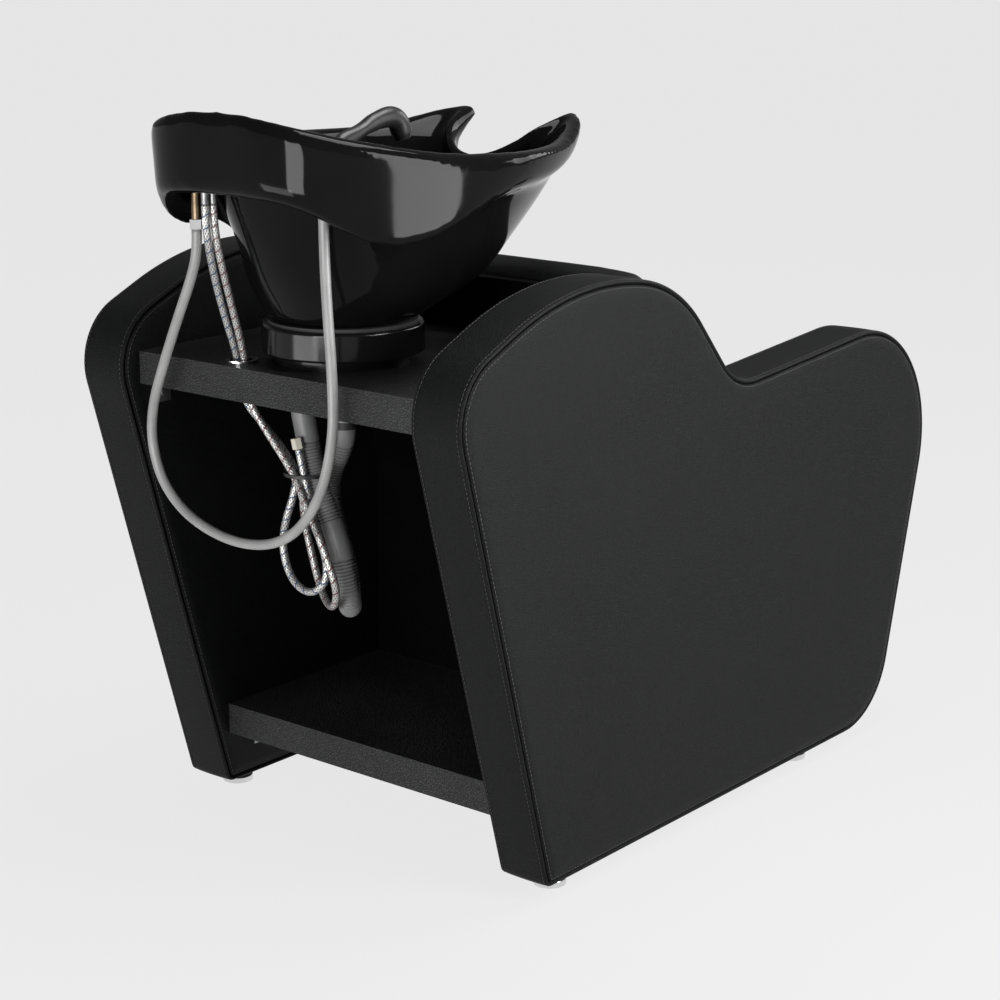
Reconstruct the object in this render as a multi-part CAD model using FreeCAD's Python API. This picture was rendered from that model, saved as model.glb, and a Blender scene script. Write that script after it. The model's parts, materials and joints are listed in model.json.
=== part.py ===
import FreeCAD, Part
import math
import os

os.makedirs("parts", exist_ok=True)
V = FreeCAD.Vector

# Backwash unit: two upholstered side panels carry a seat at the front and a tilting ceramic basin at the rear.
# Millimetres. +Z is up, the sitter faces -Y, the basin is at +Y. The origin is on the floor under the middle.

# Side panels
INNER_WIDTH = 500.0
PANEL_THICK = 82.0
PANEL_BASE_Z = 20.0
PAD = 12.0
BAND = 8.0
SEAM_R = 4.0
FACE_R = 7.0
# Corners of the panel outline seen from the side: y, z, corner radius
PANEL_CORNERS = [
    (350.0, PANEL_BASE_Z, 12.0),
    (537.0, 699.0, 90.0),
    (298.0, 807.0, 460.0),
    (78.0, 772.0, 228.0),
    (-63.0, 612.0, 100.0),
    (-645.5, 658.0, 185.0),
    (-484.0, PANEL_BASE_Z, 120.0),
]

# Boards between the panels
SHELF_TOP_Z = 673.0
SHELF_THICK = 44.0
SHELF_REAR_Y = 491.0
BOARD_TOP_Z = 140.0
BOARD_THICK = 44.0
BOARD_REAR_Y = 349.0
WALL_REAR_Y = 31.0
WALL_THICK = 18.0
WALL_TOP_Z = 437.0
BACK_TOP_Z = 753.0
BACK_SLOPE = 0.26
BACK_THICK = 15.0

# Seat
SEAT_FRONT_Y = -545.0
SEAT_BASE_Z = 340.0
SEAT_REAR_TOP_Z = 441.0
SEAT_FRONT_TOP_Z = 462.0
SEAT_GAP = 2.0
DECK_THICK = 18.0
DECK_FRONT_Y = -515.0
RAIL_WIDE = 26.0
RAIL_HIGH = 42.0
APRON_BASE_Z = 88.0
APRON_SETBACK = 46.0
APRON_BOARD = 15.0
APRON_PAD = 12.0
BACKREST_THICK = 80.0
BACKREST_LENGTH = 344.0
BACKREST_CROWN = 12.0
CUSHION_EASE = 0.3

# Levelling feet
FOOT_X = (INNER_WIDTH + PANEL_THICK) / 2
FOOT_REAR_Y = 296.0
FOOT_FRONT_Y = -295.0
FOOT_R = 22.0
FOOT_PAD_HIGH = 9.0
FOOT_NUT_R = 9.0
FOOT_NUT_HIGH = 5.0
STUD_R = 5.0
STUD_REACH = 34.0
INSERT_R = 8.0
INSERT_LONG = 44.0
THREAD_GAP = 0.05

# Angle brackets
BRACKET_LEG = 30.0
BRACKET_WIDE = 26.0
BRACKET_THICK = 2.5
SCREW_HEAD_R = 4.5
SCREW_HEAD_HIGH = 2.2

# Tilting pedestal
PED_Y = 363.0
PED_FOOT_R = 89.0
PED_FOOT_HIGH = 14.0
WASTE_HOLE_R = 45.0
COLLAR_R = 106.0
COLLAR_WALL = 8.0
COLLAR_HIGH = 38.0
COLLAR_WEB = 8.0
PIVOT_ABOVE_SHELF = 28.0
PIN_R = 6.0
PIN_GAP = 0.05
EAR_X = 62.0
EAR_THICK = 12.0
EAR_R = 12.5
BOSS_R = 11.0
BOSS_GAP = 3.0
GASKET_HIGH = 4.0
GASKET_WIDE = 20.0

# Basin
DECK_Z = 935.0
DECK_CAST = 15.0
RIM_ARCH_R = 412.0
RIM_PEAK_Z = 1008.0
NECK_DIP_R = 95.0
NECK_BOTTOM_Z = 920.0
NECK_BAY_R = 74.0
NECK_BAY_Y = 22.0
NECK_WALL = 16.0
APRON_EDGE_Y = 572.0
APRON_EDGE_Z = 904.0
APRON_RISE = 0.47
APRON_WALL = 8.0
# Outer sections of the basin: z, widest y, half width, reach forward, reach back, power, front and rear taper
HULL_SECTIONS = [
    (13.0, 360.0, 106.0, 124.0, 104.0, 2.1, 0.05, 0.05),
    (46.0, 345.0, 143.0, 187.0, 134.0, 2.5, 0.15, 0.30),
    (86.0, 330.0, 164.0, 217.0, 163.0, 3.0, 0.25, 0.45),
    (139.0, 305.0, 187.0, 243.0, 200.0, 3.4, 0.31, 0.42),
    (196.0, 298.0, 212.0, 262.0, 213.0, 4.0, 0.31, 0.36),
    (276.0, 300.0, 231.0, 318.0, 219.0, 4.5, 0.40, 0.32),
]
# Inner sections of the basin, heights above the same foot
BOWL_SECTIONS = [
    (28.0, 358.0, 45.0, 48.0, 45.0, 2.0, 0.0, 0.0),
    (46.0, 348.0, 122.0, 160.0, 108.0, 2.3, 0.10, 0.22),
    (86.0, 333.0, 149.0, 203.0, 136.0, 2.9, 0.24, 0.40),
    (139.0, 308.0, 172.0, 228.0, 165.0, 3.3, 0.31, 0.40),
    (208.0, 300.0, 190.0, 254.0, 172.0, 4.0, 0.33, 0.34),
]
RIM_PLAN = (300.0, 229.0, 315.0, 284.0, 5.2, 0.43, 0.31)
WELL_PLAN = (300.0, 193.0, 256.0, 264.0, 4.5, 0.36, 0.36)
WELL_RIM_PLAN = (300.0, 211.0, 298.0, 268.0, 4.5, 0.42, 0.36)
SKIRT_PLAN = (300.0, 224.0, 268.0, 280.0, 5.6, 0.34, 0.33)
RIDGE_PLAN = (470.0, 132.0, 90.0, 98.0, 4.8, 0.0, 0.14)
POCKET_PLAN = (470.0, 127.0, 90.0, 92.0, 4.5, 0.0, 0.12)
WELL_EASE = 25.0
# Half the width of the bodies that cut the rim, wider than the basin
WIDE = 320.0
# Lower edge of the skirt under the rim, from front to rear: y, z
SKIRT_LINE = [(20.0, 929.0), (179.0, 906.0), (300.0, 896.0), (387.0, 871.0), (476.0, 840.0), (520.0, 864.0),
              (547.0, 887.0), (580.0, 906.0)]
# Height at which the outside is widest, from front to rear: y, z
WIDEST_LINE = [(-20.0, 962.0), (90.0, 947.0), (200.0, 941.0), (271.0, 943.0), (346.0, 952.0), (450.0, 972.0),
               (584.0, 990.0)]
# Height of the rim from rear to neck: y, z
RIM_LINE = [(620.0, 1030.0), (450.0, 990.0), (346.0, 957.0), (271.0, 948.0), (200.0, 946.0),
            (143.0, 947.0), (90.0, 952.0), (20.0, 970.0), (-60.0, 972.0)]

# Waste fitting
WASTE_R = 20.0
WASTE_WALL = 2.5
WASTE_FLANGE_R = 34.0
WASTE_FLANGE_HIGH = 4.0
WASTE_END_Z = 596.0
SPIGOT_LONG = 22.0
WASTE_NUT_R = 28.0
WASTE_NUT_HIGH = 9.0
STRAINER_R = 26.0
STRAINER_THICK = 2.0
STRAINER_HOLE_R = 2.4
STRAINER_GAP = 0.4

# Mixer tap
MIXER_X = 84.0
MIXER_Y = 522.0
MIXER_R = 22.0
MIXER_HIGH = 14.0
SHANK_R = 16.5
SHANK_DROP = 20.0
MIXER_NUT_R = 21.0
MIXER_NUT_HIGH = 6.0
CARTRIDGE_R = 14.0
CARTRIDGE_HIGH = 18.0
CAP_HIGH = 13.0
CAP_GAP = 0.4
LEVER_WIDE = 16.0
LEVER_THICK = 6.0
LEVER_LONG = 74.0
LEVER_PIN_R = 2.5
LEVER_SLOT = 0.3
NIPPLE_OFFSET = (9.5, 5.0)
NIPPLE_R = 5.5
NIPPLE_END_Z = 864.0
HOSE_NUT_R = 8.5
HOSE_NUT_HIGH = 12.0
TAIL_OFFSETS = [(-5.0, 3.0), (-8.0, -8.0)]
TAIL_LONG = 16.0
TAIL_R = 5.0

# Hand spray
SPRAY_X = -105.0
SPRAY_Y = 506.0
HOLDER_R = 15.5
HOLDER_FLANGE_R = 21.0
HOLDER_FLANGE_HIGH = 6.0
HOLDER_DROP = 26.0
HOLDER_WALL = 3.5
HANDLE_GAP = 0.4
HANDLE_DROP = 32.0
# Handle centre line: forward of the holder, above the deck, radius, lean of the section
HANDLE_LINE = [
    (0.0, 6.4, 11.6, 0.0),
    (8.0, 15.0, 11.4, 32.0),
    (28.0, 27.0, 10.8, 57.0),
    (56.0, 39.0, 10.3, 64.0),
    (88.0, 51.0, 10.6, 70.0),
    (112.0, 56.5, 12.0, 82.0),
    (128.0, 55.0, 13.2, 108.0),
    (138.0, 46.0, 13.5, 145.0),
    (142.0, 36.0, 13.0, 165.0),
]
NOZZLE_R = 12.0
NOZZLE_LONG = 7.0
FERRULE_R = 8.5
FERRULE_HIGH = 14.0

# Hoses and what is on them
SPRAY_HOSE_R = 6.5
FLEX_R = 5.0
GROMMET_X = 90.0
GROMMET_Y = 459.0
GROMMET_R = 21.0
GROMMET_BORE_R = 14.5
GROMMET_SLEEVE_R = 17.0
GROMMET_HIGH = 4.0
GROMMET_DROP = 16.0
END_NUT_R = 7.5
END_NUT_HIGH = 14.0
TIE_R = 29.0
TIE_THICK = 1.6
TIE_WIDE = 4.5
TIE_CENTRE = (14.0, 421.5, 531.0)
DRAIN_R = 15.0
DRAIN_ROOT_R = 13.0
DRAIN_BORE_R = 11.0
CUFF_R = 15.5
CUFF_STEP = 9.0
RIB_PITCH = 6.2
CLIP_HIGH = 9.0
CLIP_AT = 5.0
CLIP_THICK = 1.4

# Values that follow from those above
HALF_IN = INNER_WIDTH / 2
NOSE, TOE = PANEL_CORNERS[5], PANEL_CORNERS[6]
APRON_LEAN = (TOE[0] - NOSE[0]) / (NOSE[1] - TOE[1])
CORE_THICK = PANEL_THICK - 2 * PAD
SHELF_LOW_Z = SHELF_TOP_Z - SHELF_THICK
COLLAR_BASE_Z = SHELF_TOP_Z + PED_FOOT_HIGH
COLLAR_TOP_Z = COLLAR_BASE_Z + COLLAR_HIGH
PIVOT_Z = SHELF_TOP_Z + PIVOT_ABOVE_SHELF
BASIN_Z = COLLAR_TOP_Z + GASKET_HIGH
BOWL_FLOOR_Z = BASIN_Z + BOWL_SECTIONS[0][0]
DECK_LOW_Z = DECK_Z - DECK_CAST
SHANK_END_Z = DECK_LOW_Z - SHANK_DROP
HANDLE_END_Z = DECK_Z - HANDLE_DROP
TAIL_END_Z = SHANK_END_Z - TAIL_LONG
HOSE_NUT_END_Z = NIPPLE_END_Z - HOSE_NUT_HIGH
FERRULE_END_Z = HANDLE_END_Z - FERRULE_HIGH
RIM_TOP_Z = RIM_PEAK_Z + 30.0
BACK_FOOT_Y = WALL_REAR_Y - BACK_THICK * math.hypot(1.0, BACK_SLOPE)

# Routes of the hoses, in order from the basin; each is a hand-chosen list of x, y, z
NIPPLE_X, NIPPLE_Y = MIXER_X + NIPPLE_OFFSET[0], MIXER_Y + NIPPLE_OFFSET[1]
COLD_X, COLD_Y = MIXER_X + TAIL_OFFSETS[0][0], MIXER_Y + TAIL_OFFSETS[0][1]
HOT_X, HOT_Y = MIXER_X + TAIL_OFFSETS[1][0], MIXER_Y + TAIL_OFFSETS[1][1]
SPRAY_ROUTE = [
    (NIPPLE_X, NIPPLE_Y, HOSE_NUT_END_Z), (NIPPLE_X, NIPPLE_Y, 824.0), (104.0, 528.5, 790.0),
    (131.0, 528.0, 738.0), (160.0, 527.0, 680.0), (189.0, 527.0, 612.0), (192.0, 527.0, 558.0),
    (170.0, 527.0, 506.0), (116.0, 527.0, 468.0), (30.0, 527.0, 452.0), (-50.0, 527.0, 470.0),
    (-106.0, 526.0, 528.0), (-130.0, 522.0, 612.0), (-126.0, 518.0, 690.0), (-114.0, 512.0, 770.0),
    (SPRAY_X, SPRAY_Y, 835.0), (SPRAY_X, SPRAY_Y, FERRULE_END_Z),
]
COLD_ROUTE = [
    (COLD_X, COLD_Y, TAIL_END_Z), (COLD_X, COLD_Y, 850.0), (90.0, 503.0, 790.0), (96.0, 481.0, 735.0),
    (96.0, 460.0, 680.0), (94.0, 455.0, 622.0), (70.0, 440.0, 588.0), (42.0, 433.5, 558.0),
    (20.5, 433.0, 531.0), (20.0, 440.0, 505.0), (31.0, 446.0, 469.0), (36.0, 448.0, 437.0),
    (28.0, 449.0, 406.0), (7.0, 452.0, 385.0), (-21.0, 453.0, 380.0), (-40.0, 446.0, 398.0),
    (-36.0, 440.0, 425.0), (-22.0, 438.0, 450.0), (-8.0, 437.5, 487.0), (4.0, 437.0, 530.0), (12.0, 438.5, 566.0),
]
HOT_ROUTE = [
    (HOT_X, HOT_Y, TAIL_END_Z), (HOT_X, HOT_Y, 850.0), (79.0, 496.0, 790.0), (83.0, 476.0, 735.0),
    (84.0, 459.0, 680.0), (83.0, 456.0, 622.0), (62.0, 450.0, 590.0), (38.0, 446.5, 560.0),
    (14.0, 444.5, 531.0), (-8.0, 450.0, 500.0), (-34.0, 453.0, 462.0), (-55.0, 453.0, 420.0),
    (-62.0, 449.0, 388.0), (-45.0, 438.0, 362.0), (-14.0, 419.0, 358.0), (10.0, 409.0, 382.0),
    (22.0, 408.0, 418.0), (33.0, 408.0, 455.0), (36.0, 409.0, 495.0), (31.0, 407.5, 531.0), (40.0, 401.0, 566.0),
]
DRAIN_ROUTE = [
    (0.0, PED_Y, WASTE_END_Z), (0.0, PED_Y, 562.0), (26.0, 366.0, 521.0), (30.0, 364.0, 478.0),
    (18.0, 362.0, 436.0), (4.0, 362.0, 398.0), (-8.0, 368.0, 364.0), (-28.0, 389.0, 347.0),
    (-47.0, 409.0, 364.0), (-45.0, 415.0, 398.0), (-37.0, 415.0, 432.0), (-22.0, 415.0, 470.0),
    (-3.0, 415.0, 506.0), (12.0, 415.0, 545.0), (27.0, 415.0, 614.0),
]


def save(name, shape):
    """Write one sub-part as a STEP file."""
    shape.exportStep("parts/" + name + ".step")


def group(solids):
    """Several separate solids in one node."""
    return Part.makeCompound(solids)


def block(x0, x1, y0, y1, z0, z1):
    """A box between two corners."""
    return Part.makeBox(x1 - x0, y1 - y0, z1 - z0, V(x0, y0, z0))


def rod(x, y, z0, z1, radius):
    """An upright cylinder."""
    return Part.makeCylinder(radius, z1 - z0, V(x, y, z0))


def pipe(x, y, z0, z1, radius, bore):
    """An upright cylinder with a bore."""
    return rod(x, y, z0, z1, radius).cut(rod(x, y, z0, z1, bore))


def hexagon(x, y, z0, z1, radius, bore):
    """An upright hexagon nut with a bore."""
    points = [V(x + radius * math.cos(math.radians(60 * k)), y + radius * math.sin(math.radians(60 * k)), z0)
              for k in range(7)]
    body = Part.Face(Part.makePolygon(points)).extrude(V(0, 0, z1 - z0))
    return body.cut(rod(x, y, z0, z1, bore))


def rounded_wire(corners, place):
    """A closed wire of straight runs and tangent arcs. Each corner is a, b, radius; place makes a point of a, b."""
    count = len(corners)
    arcs = []
    for i in range(count):
        before, here, after = corners[i - 1], corners[i], corners[(i + 1) % count]
        corner = V(here[0], here[1], 0)
        back = (V(before[0], before[1], 0) - corner).normalize()
        ahead = (V(after[0], after[1], 0) - corner).normalize()
        half = back.getAngle(ahead) / 2
        reach = here[2] / math.tan(half)
        middle = (back + ahead).normalize() * (here[2] / math.sin(half) - here[2])
        arcs.append((corner + back * reach, corner + middle, corner + ahead * reach))
    edges = []
    for i in range(count):
        start, middle, end = [place(p.x, p.y) for p in arcs[i]]
        edges.append(Part.Arc(start, middle, end).toShape())
        following = place(arcs[(i + 1) % count][0].x, arcs[(i + 1) % count][0].y)
        edges.append(Part.LineSegment(end, following).toShape())
    return Part.Wire(edges)


def side_face(corners, x):
    """A face in the plane of constant x, from y, z, radius corners."""
    return Part.Face(rounded_wire(corners, lambda a, b: V(x, a, b)))


def side_prism(points, x0, x1):
    """A prism along x from a plain y, z polygon."""
    wire = Part.makePolygon([V(x0, y, z) for y, z in points + points[:1]])
    return Part.Face(wire).extrude(V(x1 - x0, 0, 0))


def edges_at_x(shape, x):
    """The edges of a shape that lie in the plane of constant x."""
    return [e for e in shape.Edges if abs(e.BoundBox.XMin - x) < 0.001 and abs(e.BoundBox.XMax - x) < 0.001]


def oval(z, plan):
    """A closed smooth section: a superellipse, tapered to its front and rear. z is a height or a function of y."""
    centre, half_width, front, rear, power, taper_front, taper_rear = plan
    soft = 0.3
    count = 24
    points = []
    for k in range(count):
        angle = 2 * math.pi * k / count
        along = abs(math.sin(angle)) ** (2 / power)
        across = abs(math.cos(angle)) ** (2 / power)
        behind = math.sin(angle) > 0
        taper = taper_rear if behind else taper_front
        narrow = 1 - taper * (math.hypot(along, soft) - soft) / (math.hypot(1, soft) - soft)
        x = math.copysign(half_width * across * narrow, math.cos(angle))
        y = centre + (rear if behind else -front) * along
        points.append(V(x, y, z(y) if callable(z) else z))
    curve = Part.BSplineCurve()
    curve.interpolate(points, True)
    return Part.Wire(curve.toShape())


def route_wire(points):
    """Straight runs joined by tangent arcs as large as the runs allow; gives the wire and its radii."""
    corners = [V(*p) for p in points]
    edges = []
    radii = []
    at = corners[0]
    for i in range(1, len(corners) - 1):
        back = corners[i - 1] - corners[i]
        ahead = corners[i + 1] - corners[i]
        turn = math.pi - back.getAngle(ahead)
        reach = 0.45 * min(back.Length, ahead.Length)
        radius = reach / math.tan(turn / 2)
        radii.append(radius)
        back.normalize()
        ahead.normalize()
        start = corners[i] + back * reach
        end = corners[i] + ahead * reach
        inward = (back + ahead).normalize()
        middle = corners[i] + inward * (radius / math.cos(turn / 2) - radius)
        edges.append(Part.LineSegment(at, start).toShape())
        edges.append(Part.Arc(start, middle, end).toShape())
        at = end
    edges.append(Part.LineSegment(at, corners[-1]).toShape())
    return Part.Wire(edges), radii


def hose(name, points, radius):
    """A plain tube along a route; prints its length, its tightest bend and its volume against section times length."""
    path, radii = route_wire(points)
    start = V(*points[0])
    section = Part.Wire(Part.makeCircle(radius, start, V(*points[1]) - start))
    tube = path.makePipeShell([section], True, False)
    share = tube.Volume / (math.pi * radius ** 2 * path.Length)
    print(name, "length", round(path.Length), "tightest bend", round(min(radii)), "volume share", round(share, 4))
    return tube


# Side panels: a core board, a padded face each side and a sewn band round the edge
def panel(side):
    """The four pieces of one panel; side is -1 for the sitter's right and 1 for the left."""
    inner_x = side * HALF_IN
    core_x = side * (HALF_IN + PAD)
    outer_x = side * (HALF_IN + PAD + CORE_THICK)
    face = side_face(PANEL_CORNERS, 0)
    small = Part.Face(face.makeOffset2D(-BAND).Wires[0])
    sockets = [rod(side * FOOT_X, y, PANEL_BASE_Z - 1, PANEL_BASE_Z + INSERT_LONG, INSERT_R)
               for y in (FOOT_REAR_Y, FOOT_FRONT_Y)]

    def slab(shape, x, thick):
        moved = shape.copy()
        moved.translate(V(x, 0, 0))
        return moved.extrude(V(side * thick, 0, 0))

    core = slab(small, core_x, CORE_THICK)
    ring = slab(face, core_x, CORE_THICK).cut(core)
    rim = [e for x in (core_x, outer_x) for e in edges_at_x(ring, x) if on_outline(e)]
    band = ring.makeFillet(SEAM_R, rim)
    inner = slab(face, inner_x, PAD)
    inner = inner.makeFillet(SEAM_R, edges_at_x(inner, core_x))
    inner = inner.makeFillet(FACE_R, edges_at_x(inner, inner_x))
    outer = slab(face, outer_x, PAD)
    outer = outer.makeFillet(SEAM_R, edges_at_x(outer, outer_x))
    outer = outer.makeFillet(FACE_R, edges_at_x(outer, outer_x + side * PAD))
    for socket in sockets:
        core = core.cut(socket)
        band = band.cut(socket)
    return core, inner, outer, band


def on_outline(edge):
    """True for an edge of the band that lies on the panel's outer outline."""
    outline = side_face(PANEL_CORNERS, edge.BoundBox.XMin).OuterWire
    return Part.Vertex(edge.valueAt((edge.FirstParameter + edge.LastParameter) / 2)).distToShape(outline)[0] < 0.01


for panel_side, word in ((-1, "right"), (1, "left")):
    core, inner, outer, band = panel(panel_side)
    save("panel_core_" + word, core)
    save("inner_cover_" + word, inner)
    save("outer_cover_" + word, outer)
    save("edge_band_" + word, band)


# Boards between the panels
def back_y(z):
    """Rear face of the leaning back board at a height."""
    return WALL_REAR_Y + BACK_SLOPE * (z - WALL_TOP_Z)


shelf = side_prism([(back_y(SHELF_LOW_Z), SHELF_LOW_Z), (SHELF_REAR_Y, SHELF_LOW_Z),
                    (SHELF_REAR_Y, SHELF_TOP_Z), (back_y(SHELF_TOP_Z), SHELF_TOP_Z)], -HALF_IN, HALF_IN)
shelf = shelf.cut(rod(0, PED_Y, SHELF_LOW_Z, SHELF_TOP_Z, WASTE_HOLE_R))
shelf = shelf.cut(rod(GROMMET_X, GROMMET_Y, SHELF_LOW_Z, SHELF_TOP_Z, GROMMET_SLEEVE_R))
save("basin_shelf", shelf)
save("bottom_board", block(-HALF_IN, HALF_IN, WALL_REAR_Y, BOARD_REAR_Y, BOARD_TOP_Z - BOARD_THICK, BOARD_TOP_Z))
save("rear_wall", block(-HALF_IN, HALF_IN, WALL_REAR_Y - WALL_THICK, WALL_REAR_Y,
                        BOARD_TOP_Z - BOARD_THICK, WALL_TOP_Z))
lean_back = BACK_SLOPE * (BACK_TOP_Z - WALL_TOP_Z)
save("back_board", side_prism([(BACK_FOOT_Y, WALL_TOP_Z), (WALL_REAR_Y, WALL_TOP_Z),
                               (WALL_REAR_Y + lean_back, BACK_TOP_Z), (BACK_FOOT_Y + lean_back, BACK_TOP_Z)],
                              -HALF_IN, HALF_IN))

# Seat base: deck, two rails on the panels, a leaning front board and its padded cover
WALL_FRONT_Y = WALL_REAR_Y - WALL_THICK
DECK_LOW = SEAT_BASE_Z - DECK_THICK
save("seat_deck", block(-HALF_IN, HALF_IN, DECK_FRONT_Y, WALL_FRONT_Y, DECK_LOW, SEAT_BASE_Z))


def apron_y(z, depth):
    """Front apron at a height, parallel to the panel's leaning front edge; depth is measured back from its face."""
    return TOE[0] + APRON_SETBACK - APRON_LEAN * (z - PANEL_BASE_Z) + depth


def apron_slab(near, far):
    """A leaning slab of the apron between two depths."""
    points = [(apron_y(z, depth), z) for z, depth in
              ((APRON_BASE_Z, near), (APRON_BASE_Z, far), (DECK_LOW, far), (DECK_LOW, near))]
    return side_prism(points, -HALF_IN, HALF_IN)


save("apron_cover", apron_slab(0, APRON_PAD))
save("apron_board", apron_slab(APRON_PAD, APRON_PAD + APRON_BOARD))
rail_front = apron_y(DECK_LOW - RAIL_HIGH, APRON_PAD + APRON_BOARD)
save("seat_rails", group([block(x0, x0 + RAIL_WIDE, rail_front, WALL_FRONT_Y, DECK_LOW - RAIL_HIGH, DECK_LOW)
                          for x0 in (-HALF_IN, HALF_IN - RAIL_WIDE)]))


# Cushions: one side profile, drawn in towards both ends
def cushion(profile, flat):
    """A crowned cushion: the profile's corners move in towards each end, except those listed as lying flat."""
    half = HALF_IN - SEAT_GAP
    middle_y = sum(c[0] for c in profile) / len(profile)
    middle_z = sum(c[1] for c in profile) / len(profile)
    sections = []
    draws = ((0.0, 0.0), (0.5, 1.0), (0.78, 3.0), (0.91, 6.0), (0.97, 10.0), (1.0, 16.0))
    for share, draw in [(-t, d) for t, d in draws[:0:-1]] + list(draws):
        corners = []
        for i, (y, z, r) in enumerate(profile):
            away = V(y - middle_y, z - middle_z, 0).normalize()
            dy, dz = (0, 0) if i in flat else (away.x * draw, away.y * draw)
            corners.append((y - dy, z - dz, r))
        x = share * half
        sections.append(rounded_wire(corners, lambda a, b, x=x: V(x, a, b)))
    return Part.makeLoft(sections, True, True)


seat_profile = [
    (WALL_FRONT_Y - CUSHION_EASE, SEAT_BASE_Z, 8.0),
    (WALL_FRONT_Y - CUSHION_EASE, SEAT_REAR_TOP_Z - 4, 12.0),
    ((SEAT_FRONT_Y + WALL_FRONT_Y) / 2, SEAT_FRONT_TOP_Z - 2, 700.0),
    (SEAT_FRONT_Y, SEAT_FRONT_TOP_Z - 10, 42.0),
    (SEAT_FRONT_Y + 8, SEAT_BASE_Z, 30.0),
]
save("seat_cushion", cushion(seat_profile, (0, 4)))

lean = math.atan(BACK_SLOPE)
up_y, up_z = math.sin(lean), math.cos(lean)


def on_back(along, out):
    """A point on the back board's front face: distance up the board and out from it."""
    return (BACK_FOOT_Y + along * up_y - out * up_z, WALL_TOP_Z + along * up_z + out * up_y)


BACK_CLEAR = 8.0
backrest_profile = [
    on_back(BACK_CLEAR, CUSHION_EASE) + (10.0,),
    on_back(BACKREST_LENGTH, CUSHION_EASE) + (24.0,),
    on_back(BACKREST_LENGTH, BACKREST_THICK - 6) + (34.0,),
    on_back(BACKREST_LENGTH / 2, BACKREST_THICK + BACKREST_CROWN) + (500.0,),
    on_back(BACK_CLEAR, BACKREST_THICK) + (24.0,),
]
save("backrest_cushion", cushion(backrest_profile, (0, 1)))


# Angle brackets with their screws
def bracket(side, y, z):
    """An angle under a board and against a panel; gives the bracket and its two screws."""
    wall = side * HALF_IN
    tip = side * (HALF_IN - BRACKET_LEG)
    face = side * (HALF_IN - BRACKET_THICK)
    y0, y1 = y - BRACKET_WIDE / 2, y + BRACKET_WIDE / 2
    level = block(min(wall, tip), max(wall, tip), y0, y1, z - BRACKET_THICK, z)
    upright = block(min(wall, face), max(wall, face), y0, y1, z - BRACKET_LEG, z)
    body = level.fuse(upright).removeSplitter()
    spot = side * (HALF_IN - BRACKET_LEG * 0.6)
    head_up = Part.makeCylinder(SCREW_HEAD_R, SCREW_HEAD_HIGH, V(spot, y, z - BRACKET_THICK), V(0, 0, -1))
    drop = V(face, y, z - BRACKET_LEG * 0.6)
    head_side = Part.makeCylinder(SCREW_HEAD_R, SCREW_HEAD_HIGH, drop, V(-side, 0, 0))
    return body, [head_up, head_side]


for name, level_z, rows in (("shelf", SHELF_LOW_Z, (PED_Y - 160.0, PED_Y + 90.0)),
                            ("board", BOARD_TOP_Z - BOARD_THICK, (WALL_REAR_Y + 60.0, BOARD_REAR_Y - 60.0))):
    made = [bracket(side, y, level_z) for side in (-1, 1) for y in rows]
    save(name + "_brackets", group([m[0] for m in made]))
    save(name + "_screws", group([s for m in made for s in m[1]]))

# Levelling feet: a pad on a threaded stud that turns in a sleeve set into the panel
sleeves = []
for word, x, y in (("rear_right", -FOOT_X, FOOT_REAR_Y), ("rear_left", FOOT_X, FOOT_REAR_Y),
                   ("front_right", -FOOT_X, FOOT_FRONT_Y), ("front_left", FOOT_X, FOOT_FRONT_Y)):
    pad = rod(x, y, 0, FOOT_PAD_HIGH, FOOT_R)
    pad = pad.makeFillet(2.0, [e for e in pad.Edges if e.BoundBox.ZMin > FOOT_PAD_HIGH - 0.1])
    nut = hexagon(x, y, FOOT_PAD_HIGH, FOOT_PAD_HIGH + FOOT_NUT_HIGH, FOOT_NUT_R, STUD_R)
    stud = rod(x, y, FOOT_PAD_HIGH, PANEL_BASE_Z + STUD_REACH, STUD_R)
    save("levelling_foot_" + word, pad.fuse([nut, stud]).removeSplitter())
    sleeves.append(pipe(x, y, PANEL_BASE_Z, PANEL_BASE_Z + INSERT_LONG, INSERT_R, STUD_R + THREAD_GAP))
save("foot_inserts", group(sleeves))

# Pedestal: a fixed foot with two ears, and a collar that tilts on two pins
ped_foot = pipe(0, PED_Y, SHELF_TOP_Z, COLLAR_BASE_Z, PED_FOOT_R, WASTE_HOLE_R)
ear_holes = []
for side in (-1, 1):
    x0 = side * EAR_X if side > 0 else -EAR_X - EAR_THICK
    start = V(x0, PED_Y, PIVOT_Z)
    round_top = Part.makeCylinder(EAR_R, EAR_THICK, start, V(1, 0, 0))
    leg = block(x0, x0 + EAR_THICK, PED_Y - EAR_R, PED_Y + EAR_R, COLLAR_BASE_Z - 2, PIVOT_Z)
    ped_foot = ped_foot.fuse([round_top, leg])
    ear_holes.append(Part.makeCylinder(PIN_R + PIN_GAP, EAR_THICK, start, V(1, 0, 0)))
ped_foot = ped_foot.removeSplitter()
for hole in ear_holes:
    ped_foot = ped_foot.cut(hole)
SCREW_CIRCLE = (PED_FOOT_R + WASTE_HOLE_R) / 2
ped_screws = []
for k in range(4):
    angle = math.radians(45 + 90 * k)
    x, y = SCREW_CIRCLE * math.cos(angle), PED_Y + SCREW_CIRCLE * math.sin(angle)
    ped_screws.append(rod(x, y, COLLAR_BASE_Z, COLLAR_BASE_Z + SCREW_HEAD_HIGH, SCREW_HEAD_R))
save("pedestal_foot", ped_foot)
save("pedestal_screws", group(ped_screws))

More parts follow.
